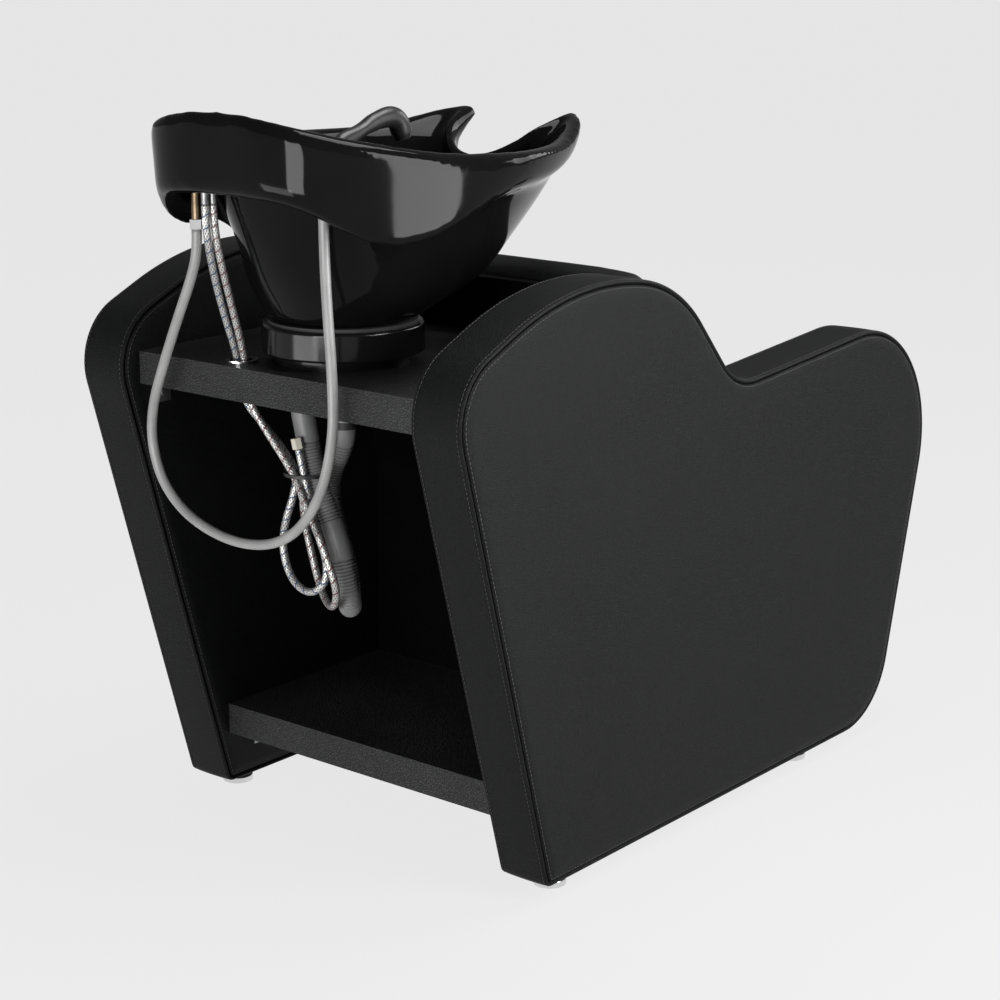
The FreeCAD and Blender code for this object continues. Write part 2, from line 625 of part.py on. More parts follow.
collar_bore = COLLAR_R - COLLAR_WALL
collar = rod(0, PED_Y, COLLAR_BASE_Z, COLLAR_TOP_Z, COLLAR_R)
collar = collar.makeFillet(3.5, [e for e in collar.Edges if e.BoundBox.ZLength < 0.01])
collar = collar.cut(rod(0, PED_Y, COLLAR_BASE_Z, COLLAR_TOP_Z - COLLAR_WEB, collar_bore))
collar = collar.cut(rod(0, PED_Y, COLLAR_BASE_Z, COLLAR_TOP_Z, WASTE_HOLE_R))
pins = []
boss_x = EAR_X + EAR_THICK + BOSS_GAP
for side in (-1, 1):
    boss_start = V(side * boss_x, PED_Y, PIVOT_Z)
    boss = Part.makeCylinder(BOSS_R, COLLAR_R - COLLAR_WALL / 2 - boss_x, boss_start, V(side, 0, 0))
    hole = Part.makeCylinder(PIN_R, collar_bore - boss_x, boss_start, V(side, 0, 0))
    collar = collar.fuse(boss).cut(hole)
    pins.append(Part.makeCylinder(PIN_R, collar_bore - EAR_X, V(side * EAR_X, PED_Y, PIVOT_Z), V(side, 0, 0)))
save("tilt_collar", collar.removeSplitter())
save("trunnion_pins", group(pins))
basin_foot_r = COLLAR_R - 9.0
save("collar_gasket", pipe(0, PED_Y, COLLAR_TOP_Z, BASIN_Z, basin_foot_r, basin_foot_r - GASKET_WIDE))


# Basin
def apron_low(y):
    """Underside of the rear apron: it drops forward towards the hull."""
    return APRON_EDGE_Z - APRON_RISE * (APRON_EDGE_Y - y)


def height_on(line, y):
    """Height at a distance back on a line given by a few points, straight between them."""
    for (y0, z0), (y1, z1) in zip(line, line[1:]):
        if y <= y1:
            break
    return z0 + (z1 - z0) * (y - y0) / (y1 - y0)


def skirt_low(y):
    """Lower edge of the skirt under the rim."""
    return height_on(SKIRT_LINE, y)


def neck_bay(radius):
    """The sitter's neck from above: a half round that opens to the front."""
    upright = rod(0, NECK_BAY_Y, BASIN_Z, RIM_TOP_Z + 60, radius)
    return upright.fuse(block(-radius, radius, -200, NECK_BAY_Y, BASIN_Z, RIM_TOP_Z + 60)).removeSplitter()


def widest(y):
    """Height near the rim where the outside is widest."""
    return height_on(WIDEST_LINE, y)


def facets(sections):
    """A solid of straight lines between closed sections."""
    return Part.makeLoft(sections, True, True)


def loft(sections):
    """A smooth solid through closed sections."""
    return Part.makeLoft(sections, True, False)


def above(line):
    """Everything above a smooth line in the side view."""
    curve = Part.BSplineCurve()
    curve.interpolate([V(-WIDE, y, z) for y, z in line])
    first, last = line[0], line[-1]
    top = RIM_TOP_Z + 40
    sides = [V(-WIDE, last[0], last[1]), V(-WIDE, last[0], top), V(-WIDE, first[0], top), V(-WIDE, *first)]
    wire = Part.Wire([curve.toShape()] + [Part.LineSegment(a, b).toShape() for a, b in zip(sides, sides[1:])])
    return Part.Face(wire).extrude(V(2 * WIDE, 0, 0))


def basin():
    """The ceramic basin: hull and rear apron, rim and neck cut to height, then hollowed and bored."""
    foot = oval(BASIN_Z, (PED_Y, basin_foot_r, basin_foot_r, basin_foot_r, 2.0, 0.0, 0.0))
    hull = loft([foot] + [oval(BASIN_Z + s[0], s[1:]) for s in HULL_SECTIONS])
    apron = facets([oval(apron_low, RIDGE_PLAN), oval(skirt_low, SKIRT_PLAN), oval(widest, RIM_PLAN),
                    oval(RIM_TOP_Z + 50.0, RIM_PLAN)])
    centre, half_width, front, rear, power, taper_front, taper_rear = RIDGE_PLAN
    low_plan = (centre, half_width - APRON_WALL, front, rear - APRON_WALL, power, taper_front, taper_rear)
    pocket = facets([oval(lambda y: apron_low(y) - 0.5, low_plan), oval(DECK_LOW_Z, POCKET_PLAN)])
    body = apron.cut(pocket).fuse(hull)
    arch = block(-WIDE, WIDE, -100, 700, 700, RIM_TOP_Z + 60)
    arch = arch.cut(Part.makeCylinder(RIM_ARCH_R, 800, V(0, -100, RIM_PEAK_Z - RIM_ARCH_R), V(0, 1, 0)))
    body = body.cut(arch).cut(above(RIM_LINE))
    hollow = loft([oval(BASIN_Z + s[0], s[1:]) for s in BOWL_SECTIONS])
    well = facets([oval(DECK_Z, WELL_PLAN), oval(DECK_Z + WELL_EASE, WELL_RIM_PLAN), oval(RIM_TOP_Z, WELL_RIM_PLAN)])
    neck_wall = neck_bay(NECK_BAY_R + NECK_WALL)
    dip_end = NECK_BAY_Y + NECK_BAY_R + NECK_WALL + 10
    dip = Part.makeCylinder(NECK_DIP_R, dip_end + 200, V(0, -200, NECK_BOTTOM_Z + NECK_DIP_R), V(0, 1, 0))
    body = body.cut(neck_bay(NECK_BAY_R)).cut(hollow.cut(neck_wall)).cut(well.cut(neck_wall)).cut(dip)
    for x, y, radius in ((MIXER_X, MIXER_Y, SHANK_R), (SPRAY_X, SPRAY_Y, HOLDER_R)):
        body = body.cut(rod(x, y, DECK_LOW_Z - 60, DECK_Z + 1, radius))
    body = body.cut(rod(MIXER_X, MIXER_Y, DECK_LOW_Z - 2 * MIXER_NUT_HIGH, DECK_LOW_Z, MIXER_NUT_R + 1))
    body = body.cut(rod(0, PED_Y, BASIN_Z - 1, BOWL_FLOOR_Z + 1, WASTE_R))
    body = body.cut(rod(0, PED_Y, BOWL_FLOOR_Z - WASTE_FLANGE_HIGH, BOWL_FLOOR_Z + 20, WASTE_FLANGE_R))
    return body


bowl = basin()
print("basin solids", len(bowl.Solids), "valid", bowl.isValid(), "volume", round(bowl.Volume / 1e6, 2), bowl.BoundBox)
save("basin_bowl", bowl)

# Waste fitting: flange in the bowl's floor, tail through the pedestal, nut under the basin, strainer on top
flange_z = BOWL_FLOOR_Z - WASTE_FLANGE_HIGH
flange = pipe(0, PED_Y, flange_z, BOWL_FLOOR_Z, WASTE_FLANGE_R, WASTE_R - WASTE_WALL)
seat_cut = rod(0, PED_Y, BOWL_FLOOR_Z - STRAINER_THICK, BOWL_FLOOR_Z, STRAINER_R + STRAINER_GAP)
save("waste_flange", flange.cut(seat_cut))
spigot_z = WASTE_END_Z + SPIGOT_LONG
tail = pipe(0, PED_Y, spigot_z, flange_z, WASTE_R, WASTE_R - WASTE_WALL)
floor_plate = pipe(0, PED_Y, spigot_z, spigot_z + WASTE_WALL, WASTE_R, DRAIN_BORE_R)
spigot = pipe(0, PED_Y, WASTE_END_Z, spigot_z, CUFF_R, DRAIN_BORE_R)
save("waste_tail", tail.fuse([floor_plate, spigot]).removeSplitter())
save("waste_nut", hexagon(0, PED_Y, BASIN_Z - WASTE_NUT_HIGH, BASIN_Z, WASTE_NUT_R, WASTE_R))
strainer = rod(0, PED_Y, BOWL_FLOOR_Z - STRAINER_THICK, BOWL_FLOOR_Z, STRAINER_R)
holes = []
for ring_r, count in ((6.5, 5), (13.0, 10), (19.5, 15)):
    for k in range(count):
        angle = 2 * math.pi * k / count
        x, y = ring_r * math.cos(angle), PED_Y + ring_r * math.sin(angle)
        holes.append(rod(x, y, BOWL_FLOOR_Z - STRAINER_THICK, BOWL_FLOOR_Z, STRAINER_HOLE_R))
strainer = strainer.cut(group(holes))
knob = rod(0, PED_Y, BOWL_FLOOR_Z, BOWL_FLOOR_Z + 7, 3.4)
save("hair_strainer", strainer.fuse(knob).removeSplitter())

# Mixer tap on the deck: fixed base with its shank, cartridge, turning cap and lifting lever
cap_low_z = DECK_Z + MIXER_HIGH + CAP_GAP
cap_top_z = cap_low_z + CAP_HIGH
cartridge_z = cap_low_z - CARTRIDGE_HIGH
mixer = rod(MIXER_X, MIXER_Y, DECK_Z, DECK_Z + MIXER_HIGH, MIXER_R)
mixer = mixer.makeFillet(3.0, [e for e in mixer.Edges if e.BoundBox.ZMin > DECK_Z + MIXER_HIGH - 0.1])
mixer = mixer.fuse(rod(MIXER_X, MIXER_Y, SHANK_END_Z, DECK_Z, SHANK_R)).removeSplitter()
mixer = mixer.cut(rod(MIXER_X, MIXER_Y, cartridge_z, DECK_Z + MIXER_HIGH, CARTRIDGE_R))
save("mixer_base", mixer)
save("mixer_cartridge", rod(MIXER_X, MIXER_Y, cartridge_z, DECK_Z + MIXER_HIGH, CARTRIDGE_R))
save("mixer_nut", hexagon(MIXER_X, MIXER_Y, DECK_LOW_Z - MIXER_NUT_HIGH, DECK_LOW_Z, MIXER_NUT_R, SHANK_R))
cap = rod(MIXER_X, MIXER_Y, cap_low_z, cap_top_z, MIXER_R - 1)
cap = cap.makeFillet(4.0, [e for e in cap.Edges if e.BoundBox.ZMin > cap_top_z - 0.1])
slot_half = LEVER_WIDE / 2 + LEVER_SLOT
pin_y = MIXER_Y + 4.0
pin_z = cap_low_z + 6.5
root_r = LEVER_THICK / 2 + 0.5
slot = block(MIXER_X - slot_half, MIXER_X + slot_half, MIXER_Y - MIXER_R - 2, pin_y + root_r + 1.0,
             cap_low_z + 2.5, cap_top_z + 1)
cap = cap.cut(slot)
pin_length = 2 * slot_half + 8
pin_start = V(MIXER_X - pin_length / 2, pin_y, pin_z)
cap = cap.cut(Part.makeCylinder(LEVER_PIN_R, pin_length, pin_start, V(1, 0, 0)))
save("mixer_cap", cap)
save("lever_pin", Part.makeCylinder(LEVER_PIN_R, pin_length, pin_start, V(1, 0, 0)))
lever_low = pin_z - LEVER_THICK / 2
lever_tip = pin_y - LEVER_LONG
lever_side = [(pin_y, lever_low), (pin_y, lever_low + LEVER_THICK), (lever_tip, lever_low + LEVER_THICK + 9),
              (lever_tip, lever_low + 5)]
lever = side_prism(lever_side, MIXER_X - LEVER_WIDE / 2, MIXER_X + LEVER_WIDE / 2)
eye = Part.makeCylinder(LEVER_THICK / 2, LEVER_WIDE, V(MIXER_X - LEVER_WIDE / 2, pin_y, pin_z), V(1, 0, 0))
lever = lever.fuse(eye).removeSplitter()
tip_edges = [e for e in lever.Edges if e.BoundBox.YMax < lever_tip + 0.1 and e.BoundBox.ZLength > 2]
lever = lever.makeFillet(LEVER_WIDE / 2 - 0.5, tip_edges)
lever_start = V(MIXER_X - LEVER_WIDE / 2, pin_y, pin_z)
lever = lever.cut(Part.makeCylinder(LEVER_PIN_R + PIN_GAP, LEVER_WIDE, lever_start, V(1, 0, 0)))
save("mixer_lever", lever)
save("outlet_nipple", rod(NIPPLE_X, NIPPLE_Y, NIPPLE_END_Z, SHANK_END_Z, NIPPLE_R))
save("hose_nut", hexagon(NIPPLE_X, NIPPLE_Y, HOSE_NUT_END_Z, NIPPLE_END_Z, HOSE_NUT_R, NIPPLE_R - 2).fuse(
    rod(NIPPLE_X, NIPPLE_Y, HOSE_NUT_END_Z, NIPPLE_END_Z, NIPPLE_R)).removeSplitter())
tails = [rod(MIXER_X + dx, MIXER_Y + dy, TAIL_END_Z, SHANK_END_Z, TAIL_R) for dx, dy in TAIL_OFFSETS]
save("inlet_tails", group(tails))

# Hand spray in its holder
holder_bore = HOLDER_R - HOLDER_WALL
holder = rod(SPRAY_X, SPRAY_Y, DECK_Z - HOLDER_DROP, DECK_Z, HOLDER_R)
cone = Part.makeCone(HOLDER_FLANGE_R, HOLDER_R + 1, HOLDER_FLANGE_HIGH, V(SPRAY_X, SPRAY_Y, DECK_Z))
holder = holder.fuse(cone).removeSplitter()
save("spray_holder", holder.cut(rod(SPRAY_X, SPRAY_Y, DECK_Z - HOLDER_DROP, DECK_Z + HOLDER_FLANGE_HIGH, holder_bore)))
stem_r = holder_bore - HANDLE_GAP


def handle_section(ahead, height, radius, angle):
    """A circle across the handle's centre line; the angle is from straight up towards the front."""
    tilt = math.radians(angle)
    centre = V(SPRAY_X, SPRAY_Y - ahead, DECK_Z + height)
    return Part.Wire(Part.makeCircle(radius, centre, V(0, -math.sin(tilt), math.cos(tilt))))


stem = rod(SPRAY_X, SPRAY_Y, HANDLE_END_Z, DECK_Z + HANDLE_LINE[0][1], stem_r)
handle = loft([handle_section(*line) for line in HANDLE_LINE])
save("spray_handle", handle.fuse(stem).removeSplitter())
ahead, height, _, angle = HANDLE_LINE[-1]
way = V(0, -math.sin(math.radians(angle)), math.cos(math.radians(angle)))
nozzle_at = V(SPRAY_X, SPRAY_Y - ahead, DECK_Z + height)
nozzle = Part.makeCone(NOZZLE_R, NOZZLE_R - 1.5, NOZZLE_LONG, nozzle_at, way)
save("spray_nozzle", nozzle)
save("hose_ferrule", rod(SPRAY_X, SPRAY_Y, FERRULE_END_Z, HANDLE_END_Z, FERRULE_R))

# Hoses
save("spray_hose", hose("spray_hose", SPRAY_ROUTE, SPRAY_HOSE_R))
save("cold_hose", hose("cold_hose", COLD_ROUTE, FLEX_R))
save("hot_hose", hose("hot_hose", HOT_ROUTE, FLEX_R))
grommet = pipe(GROMMET_X, GROMMET_Y, SHELF_TOP_Z, SHELF_TOP_Z + GROMMET_HIGH, GROMMET_R, GROMMET_BORE_R)
sleeve = pipe(GROMMET_X, GROMMET_Y, SHELF_TOP_Z - GROMMET_DROP, SHELF_TOP_Z, GROMMET_SLEEVE_R, GROMMET_BORE_R)
save("hose_grommet", grommet.fuse(sleeve).removeSplitter())


def end_nut(route):
    """A union nut on the free end of a flexible hose, in line with its last run."""
    at, before = V(*route[-1]), V(*route[-2])
    nut = hexagon(0, 0, 0, END_NUT_HIGH, END_NUT_R, FLEX_R - 2)
    nut.Placement = FreeCAD.Placement(at, FreeCAD.Rotation(V(0, 0, 1), at - before))
    return nut


save("hose_end_nuts", group([end_nut(COLD_ROUTE), end_nut(HOT_ROUTE)]))
tie = pipe(0, 0, -TIE_WIDE / 2, TIE_WIDE / 2, TIE_R + TIE_THICK, TIE_R)
tie = tie.fuse(block(TIE_R, TIE_R + 8, -4, 4, -3.5, 3.5)).cut(rod(0, 0, -5, 5, TIE_R)).removeSplitter()
tie.translate(V(*TIE_CENTRE))
save("cable_tie", tie)


def drain_hose():
    """A ribbed hose with a bore: rings of circles along the route, plain at its cuffs and at one sleeve between."""
    path, radii = route_wire(DRAIN_ROUTE)
    length = path.Length
    plain = [(0.0, 34.0), (length - 44.0, length), (length * 0.64, length * 0.64 + 52.0)]
    rings = []

    def ring(at, radius):
        rings.append((at, radius))

    at = 0.0
    while at < length - 0.5 * RIB_PITCH:
        smooth = [p for p in plain if p[0] <= at < p[1]]
        if smooth:
            steps = math.ceil((smooth[0][1] - at) / CUFF_STEP)
            span = (smooth[0][1] - at) / steps
            for k in range(steps + 1):
                ring(at + k * span, CUFF_R)
            at = smooth[0][1]
        else:
            for share, radius in ((0.15, DRAIN_ROOT_R), (0.35, DRAIN_R), (0.65, DRAIN_R), (0.85, DRAIN_ROOT_R)):
                ring(at + share * RIB_PITCH, radius)
            at += RIB_PITCH
    return path, rings, radii


def ring_wire(path, at, radius):
    """A circle across the route at a distance along it, with a steady x axis."""
    edges = path.OrderedEdges
    for edge in edges:
        if at <= edge.Length + 0.001:
            parameter = edge.getParameterByLength(min(at, edge.Length))
            centre = edge.valueAt(parameter)
            way = edge.tangentAt(parameter)
            break
        at -= edge.Length
    side = V(1, 0.9, 0)
    side = (side - way * side.dot(way)).normalize()
    frame = FreeCAD.Matrix(side.x, way.cross(side).x, way.x, centre.x,
                           side.y, way.cross(side).y, way.y, centre.y,
                           side.z, way.cross(side).z, way.z, centre.z, 0, 0, 0, 1)
    circle = Part.Wire(Part.makeCircle(radius))
    circle.Placement = FreeCAD.Placement(frame)
    return circle


drain_path, drain_rings, drain_radii = drain_hose()
drain_skin = Part.makeLoft([ring_wire(drain_path, at, r) for at, r in drain_rings], True, True)
bore_rings = drain_rings[::4] + drain_rings[-1:]
drain_bore = Part.makeLoft([ring_wire(drain_path, at, DRAIN_BORE_R) for at, r in bore_rings], True, True)
drain = drain_skin.cut(drain_bore)
print("drain_hose length", round(drain_path.Length), "ribs", sum(1 for a, r in drain_rings if r == DRAIN_ROOT_R) // 2,
      "tightest bend", round(min(drain_radii)), "valid", drain.isValid(), "solids", len(drain.Solids))
save("drain_hose", drain)
clip = pipe(0, 0, 0, CLIP_HIGH, CUFF_R + CLIP_THICK, CUFF_R + THREAD_GAP)
clip_way = (V(*DRAIN_ROUTE[1]) - V(*DRAIN_ROUTE[0])).normalize()
clip.Placement = FreeCAD.Placement(V(*DRAIN_ROUTE[0]) + clip_way * CLIP_AT, FreeCAD.Rotation(V(0, 0, 1), clip_way))
save("drain_clip", clip)
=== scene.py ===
# %% [markdown]
# # A salon backwash unit
# Two upholstered panels carry a seat at the front and a tilting black basin at the rear, with its hoses hanging
# under a shelf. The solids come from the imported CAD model. This file adds what the solids can't say: soft forms,
# smooth hoses, glaze and grain. Lengths are in metres, +Z is up, the sitter faces -Y and the basin is at +Y.

# %% Load the frame
import json
import math

import bmesh
import bpy
import numpy as np
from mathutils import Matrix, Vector


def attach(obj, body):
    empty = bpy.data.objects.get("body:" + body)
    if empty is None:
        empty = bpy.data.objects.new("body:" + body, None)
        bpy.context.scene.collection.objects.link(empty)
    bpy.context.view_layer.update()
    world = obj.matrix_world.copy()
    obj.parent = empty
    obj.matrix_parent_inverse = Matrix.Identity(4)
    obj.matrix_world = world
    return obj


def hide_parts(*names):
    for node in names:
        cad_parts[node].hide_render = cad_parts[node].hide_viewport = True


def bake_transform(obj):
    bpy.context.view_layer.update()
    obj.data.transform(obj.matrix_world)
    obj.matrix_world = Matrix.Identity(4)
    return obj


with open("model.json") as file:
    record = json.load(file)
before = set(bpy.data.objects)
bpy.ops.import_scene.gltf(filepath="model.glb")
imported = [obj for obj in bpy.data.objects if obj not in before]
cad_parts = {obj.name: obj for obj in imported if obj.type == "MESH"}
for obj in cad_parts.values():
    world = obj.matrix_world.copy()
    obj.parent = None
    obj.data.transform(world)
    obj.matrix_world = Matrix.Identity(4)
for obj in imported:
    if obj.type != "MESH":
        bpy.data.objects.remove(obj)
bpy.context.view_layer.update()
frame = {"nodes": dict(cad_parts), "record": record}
NODES = frame["nodes"]


# %% Object helper
def add_object(name, data):
    """A new object at the origin, linked to the scene."""
    made = bpy.data.objects.new(name, data)
    bpy.context.scene.collection.objects.link(made)
    return made


print("scene", bpy.context.scene.name)

# %% [markdown]
# ## The camera
# The photograph looks down from behind, over the sitter's right. Its place and lens were worked out from the straight
# edges of the boards and panels, so the camera is written as a position, two angles and a focal length.

# %% Camera
CAMERA_AT = Vector((-1.98006, 2.47046, 1.23707))
CAMERA_AZIMUTH = math.radians(219.201)
CAMERA_ELEVATION = math.radians(14.622)
CAMERA_LENS = 81.447

camera = add_object("camera", bpy.data.cameras.new("camera"))
looking = Vector((-math.sin(CAMERA_AZIMUTH) * math.cos(CAMERA_ELEVATION),
                  math.cos(CAMERA_AZIMUTH) * math.cos(CAMERA_ELEVATION), -math.sin(CAMERA_ELEVATION)))
camera.location = CAMERA_AT
camera.rotation_euler = looking.to_track_quat("-Z", "Y").to_euler()
camera.data.lens = CAMERA_LENS
camera.data.sensor_width = 36.0
camera.data.clip_end = 400.0
bpy.context.scene.camera = camera
print("camera", [round(c, 3) for c in camera.location])

# %% [markdown]
# ## Surfaces from grids
# Every new piece is a grid of points: one direction runs along it, the other round it. One helper turns such a grid
# into a mesh. It closes the grid round its second direction, keeps a UV map if one is given, and turns the faces
# outwards by the sign of the volume.


# %% Mesh helpers
def read_points(mesh):
    """All points of a mesh as an array."""
    flat = np.empty(len(mesh.vertices) * 3)
    mesh.vertices.foreach_get("co", flat)
    return flat.reshape(-1, 3)


def write_points(mesh, points):
    """Put an array of points back."""
    mesh.vertices.foreach_set("co", points.ravel())
    mesh.update()


def merge_doubles(mesh, apart):
    """Merge the points of a mesh that lie no further apart than this."""
    joined = bmesh.new()
    joined.from_mesh(mesh)
    bmesh.ops.remove_doubles(joined, verts=joined.verts, dist=apart)
    joined.to_mesh(mesh)
    joined.free()


print("mesh helpers ready")


# %% Grid helper
def grid_piece(name, points, uv=None):
    """A closed mesh from points[i, j]: rows i follow each other, j runs round and closes on itself.

    The first and last rows may shrink to one point each; such doubles are merged. uv[i, j] has one more column than
    points, so that the seam keeps its own coordinates.
    """
    rows, columns = points.shape[:2]
    i, j = np.meshgrid(np.arange(rows - 1), np.arange(columns), indexing="ij")
    right = (j + 1) % columns
    quads = np.stack([i * columns + j, i * columns + right, (i + 1) * columns + right, (i + 1) * columns + j], -1)
    corners = points.reshape(-1, 3)
    a, b, c, d = (corners[quads[..., k].ravel()] for k in range(4))
    volume = np.einsum("ij,ij->i", a, np.cross(b, c)).sum() + np.einsum("ij,ij->i", a, np.cross(c, d)).sum()
    order = [0, 1, 2, 3] if volume > 0 else [3, 2, 1, 0]
    mesh = bpy.data.meshes.new(name)
    mesh.from_pydata(corners.tolist(), [], quads[..., order].reshape(-1, 4).tolist())
    if uv is not None:
        around = np.stack([uv[i, j], uv[i, j + 1], uv[i + 1, j + 1], uv[i + 1, j]], -2)[..., order, :]
        layer = mesh.uv_layers.new(name="along")
        layer.data.foreach_set("uv", around.reshape(-1).astype(np.float32))
    merge_doubles(mesh, apart=1e-6)
    mesh.shade_smooth()
    return add_object(name, mesh)


def dress(piece, finish):
    """Give a piece its finish."""
    piece.data.materials.clear()
    piece.data.materials.append(finish)
    return piece


print("grid helper ready")

# %% [markdown]
# ## Shader sums
# A finish is mostly arithmetic on a few patterns. Wrapping a socket in a small class lets that arithmetic be
# written as ordinary sums, and one method makes every other node.


# %% Shader helper
NOISE_ROUGH = 0.55


class Value:
    """A shader socket that can be used in sums; each operator adds one Math node."""

    def __init__(self, finish, socket):
        self.finish = finish
        self.socket = socket

    def sum(self, operation, first, second):
        return self.finish.node("ShaderNodeMath", {"operation": operation}, {0: first, 1: second})

    def __add__(self, other):
        return self.sum("ADD", self, other)

    def __sub__(self, other):
        return self.sum("SUBTRACT", self, other)

    def __rsub__(self, other):
        return self.sum("SUBTRACT", other, self)

    def __mul__(self, other):
        return self.sum("MULTIPLY", self, other)

    def above(self, level):
        return self.sum("GREATER_THAN", self, level)

    def least(self, other):
        return self.sum("MINIMUM", self, other)

    def most(self, other):
        return self.sum("MAXIMUM", self, other)

    def sine(self):
        return self.sum("SINE", self, 0.0)

    __radd__ = __add__
    __rmul__ = __mul__


class Finish:
    """One material: a Principled shader and the nodes that feed it."""

    def __init__(self, name, **fixed):
        self.material = bpy.data.materials.new(name)
        self.material.use_nodes = True
        self.tree = self.material.node_tree
        self.shader = self.tree.nodes["Principled BSDF"]
        for key, value in fixed.items():
            self.shader.inputs[key.replace("_", " ")].default_value = value

    def node(self, kind, settings=None, sockets=None, out=0):
        """Any node: its type, its settings (a ramp's stops among them), its sockets' values or links."""
        made = self.tree.nodes.new(kind)
        for key, value in (settings or {}).items():
            if key == "stops":
                while len(made.color_ramp.elements) < len(value):
                    made.color_ramp.elements.new(0.5)
                for element, (position, colour) in zip(made.color_ramp.elements, value):
                    element.position = position
                    element.color = colour if len(colour) == 4 else (*colour, 1.0)
            else:
                setattr(made, key, value)
        for key, value in (sockets or {}).items():
            if isinstance(value, Value):
                self.tree.links.new(value.socket, made.inputs[key])
            else:
                made.inputs[key].default_value = value
        return Value(self, made.outputs[out])

    def place(self):
        """Object coordinates, in metres."""
        return self.node("ShaderNodeTexCoord", out=3)

    def along(self):
        """The piece's own UV map as two values: metres along it, and the share of a turn round it."""
        uv = self.node("ShaderNodeUVMap", {"uv_map": "along"})
        return tuple(self.node("ShaderNodeSeparateXYZ", sockets={0: uv}, out=k) for k in range(2))

    def noise(self, scale, detail):
        """Soft noise; scale is in features a metre."""
        return self.node("ShaderNodeTexNoise", sockets={"Vector": self.place(), "Scale": scale, "Detail": detail,
                                                        "Roughness": NOISE_ROUGH})

    def cells(self, scale):
        """How far each spot is from the edge of its cell; scale is in cells a metre."""
        return self.node("ShaderNodeTexVoronoi", {"feature": "DISTANCE_TO_EDGE"},
                         {"Vector": self.place(), "Scale": scale})

    def ramp(self, value, stops):
        """A colour or grey by level."""
        return self.node("ShaderNodeValToRGB", {"stops": stops}, {0: value})

    def blend(self, share, first, second):
        """Two colours mixed by a share."""
        return self.node("ShaderNodeMix", {"data_type": "RGBA"}, {0: share, 6: first, 7: second}, out=2)

    def feed(self, **links):
        """Link values to the shader's own sockets."""
        for key, value in links.items():
            self.tree.links.new(value.socket, self.shader.inputs[key.replace("_", " ")])

    def bump(self, height, distance):
        """A bump of so many metres, fed to Normal; gives the finished material."""
        self.feed(Normal=self.node("ShaderNodeBump", sockets={"Height": height, "Distance": distance}))
        return self.material


def grey(level):
    """One grey as a colour."""
    return (level, level, level, 1.0)


print("shader helper ready")

# %% [markdown]
# ## Upholstery and boards
# The panels and cushions wear a charcoal imitation leather with a pebbled grain. The boards carry a dark laminate
# embossed the same way, with larger pebbles. Both are cell patterns at two scales, over a slow change of tone. The
# grain goes into the bump and, a little, into colour and roughness: the valleys are darker.

# %% Grained finishes
FINE_GRAIN = 2.3
FIBRES = 900.0


def grained(name, dark, light, pebble, depth, rough, gloss):
    """Pebbled grain: cells at two scales, dark in the valleys. pebble is in cells a metre, depth in metres."""
    finish = Finish(name, Specular_IOR_Level=gloss)
    pebbles = finish.cells(pebble)
    fine = finish.cells(pebble * FINE_GRAIN)
    drift = finish.noise(6.0, 3.0)
    valley = (pebbles * 3.0).least(1.0)
    tone = valley * 0.62 + drift * 0.45
    finish.feed(Base_Color=finish.ramp(tone, [(0.15, dark), (0.95, light)]),
                Roughness=rough + drift * 0.16 - valley * 0.08)
    domes = (pebbles * 2.6).least(1.0) * 0.8 + (fine * 2.0).least(1.0) * 0.35
    return finish.bump(domes + finish.noise(FIBRES, 2.0) * 0.12, depth)


LEATHER = grained("charcoal_leather", (0.0017, 0.0019, 0.0019), (0.006, 0.0064, 0.0063), 420.0, 0.0005, 0.43, 0.1)
LAMINATE = grained("grained_laminate", (0.003, 0.0031, 0.0032), (0.042, 0.0426, 0.0434), 300.0, 0.0008, 0.38, 0.2)
# painted shade: a darker copy of the laminate, for boards that stand in deep shade
SHADE_PAINTED_BOARD = grained("shade_painted_laminate", (0.0003, 0.0003, 0.0003), (0.0022, 0.0022, 0.0023), 300.0, 0.0005, 0.5, 0.04)
print("grained finishes", LEATHER.name, LAMINATE.name, SHADE_PAINTED_BOARD.name)

# %% [markdown]
# ## Glaze, plastic and metal
# The basin is fired black glaze: nearly no colour, a hard clear gloss, a faint orange peel. The collar under it is
# gloss moulded plastic. Metals are plated or brushed, with fine marks that change only their roughness.


# %% Hard finishes
def glaze():
    """Black ceramic glaze: a hard gloss with a very faint orange peel."""
    finish = Finish("black_glaze", Specular_IOR_Level=0.085)
    speck = finish.noise(1400.0, 2.0)
    drift = finish.noise(9.0, 2.0)
    shade = finish.ramp(speck * 0.5 + drift * 0.5,
                        [(0.3, (0.0022, 0.0022, 0.0024)), (0.8, (0.0045, 0.0045, 0.0048))])
    finish.feed(Base_Color=shade, Roughness=0.055 + drift * 0.05)
    return finish.bump(finish.noise(90.0, 1.0), 0.000012)


def moulded(name, dark, light, rough, pits=700.0, depth=0.00008, gloss=0.4):
    """Moulded plastic or rubber: a fine sparked skin and slow uneven tone."""
    finish = Finish(name, Specular_IOR_Level=gloss)
    drift = finish.noise(25.0, 3.0)
    skin = finish.noise(pits, 2.0)
    finish.feed(Base_Color=finish.ramp(drift * 0.7 + skin * 0.3, [(0.3, dark), (0.72, light)]),
                Roughness=rough + drift * 0.1 + skin * 0.06)
    return finish.bump(skin, depth)


def metal(name, dark, light, rough):
    """Plated or bare metal: fine marks and dull patches in the roughness."""
    finish = Finish(name, Metallic=1.0)
    drift = finish.noise(40.0, 3.0)
    fine = finish.noise(420.0, 3.0)
    finish.feed(Base_Color=finish.ramp(drift, [(0.3, dark), (0.75, light)]),
                Roughness=rough + fine * 0.12 + drift * 0.06)
    return finish.bump(fine, 0.00004)


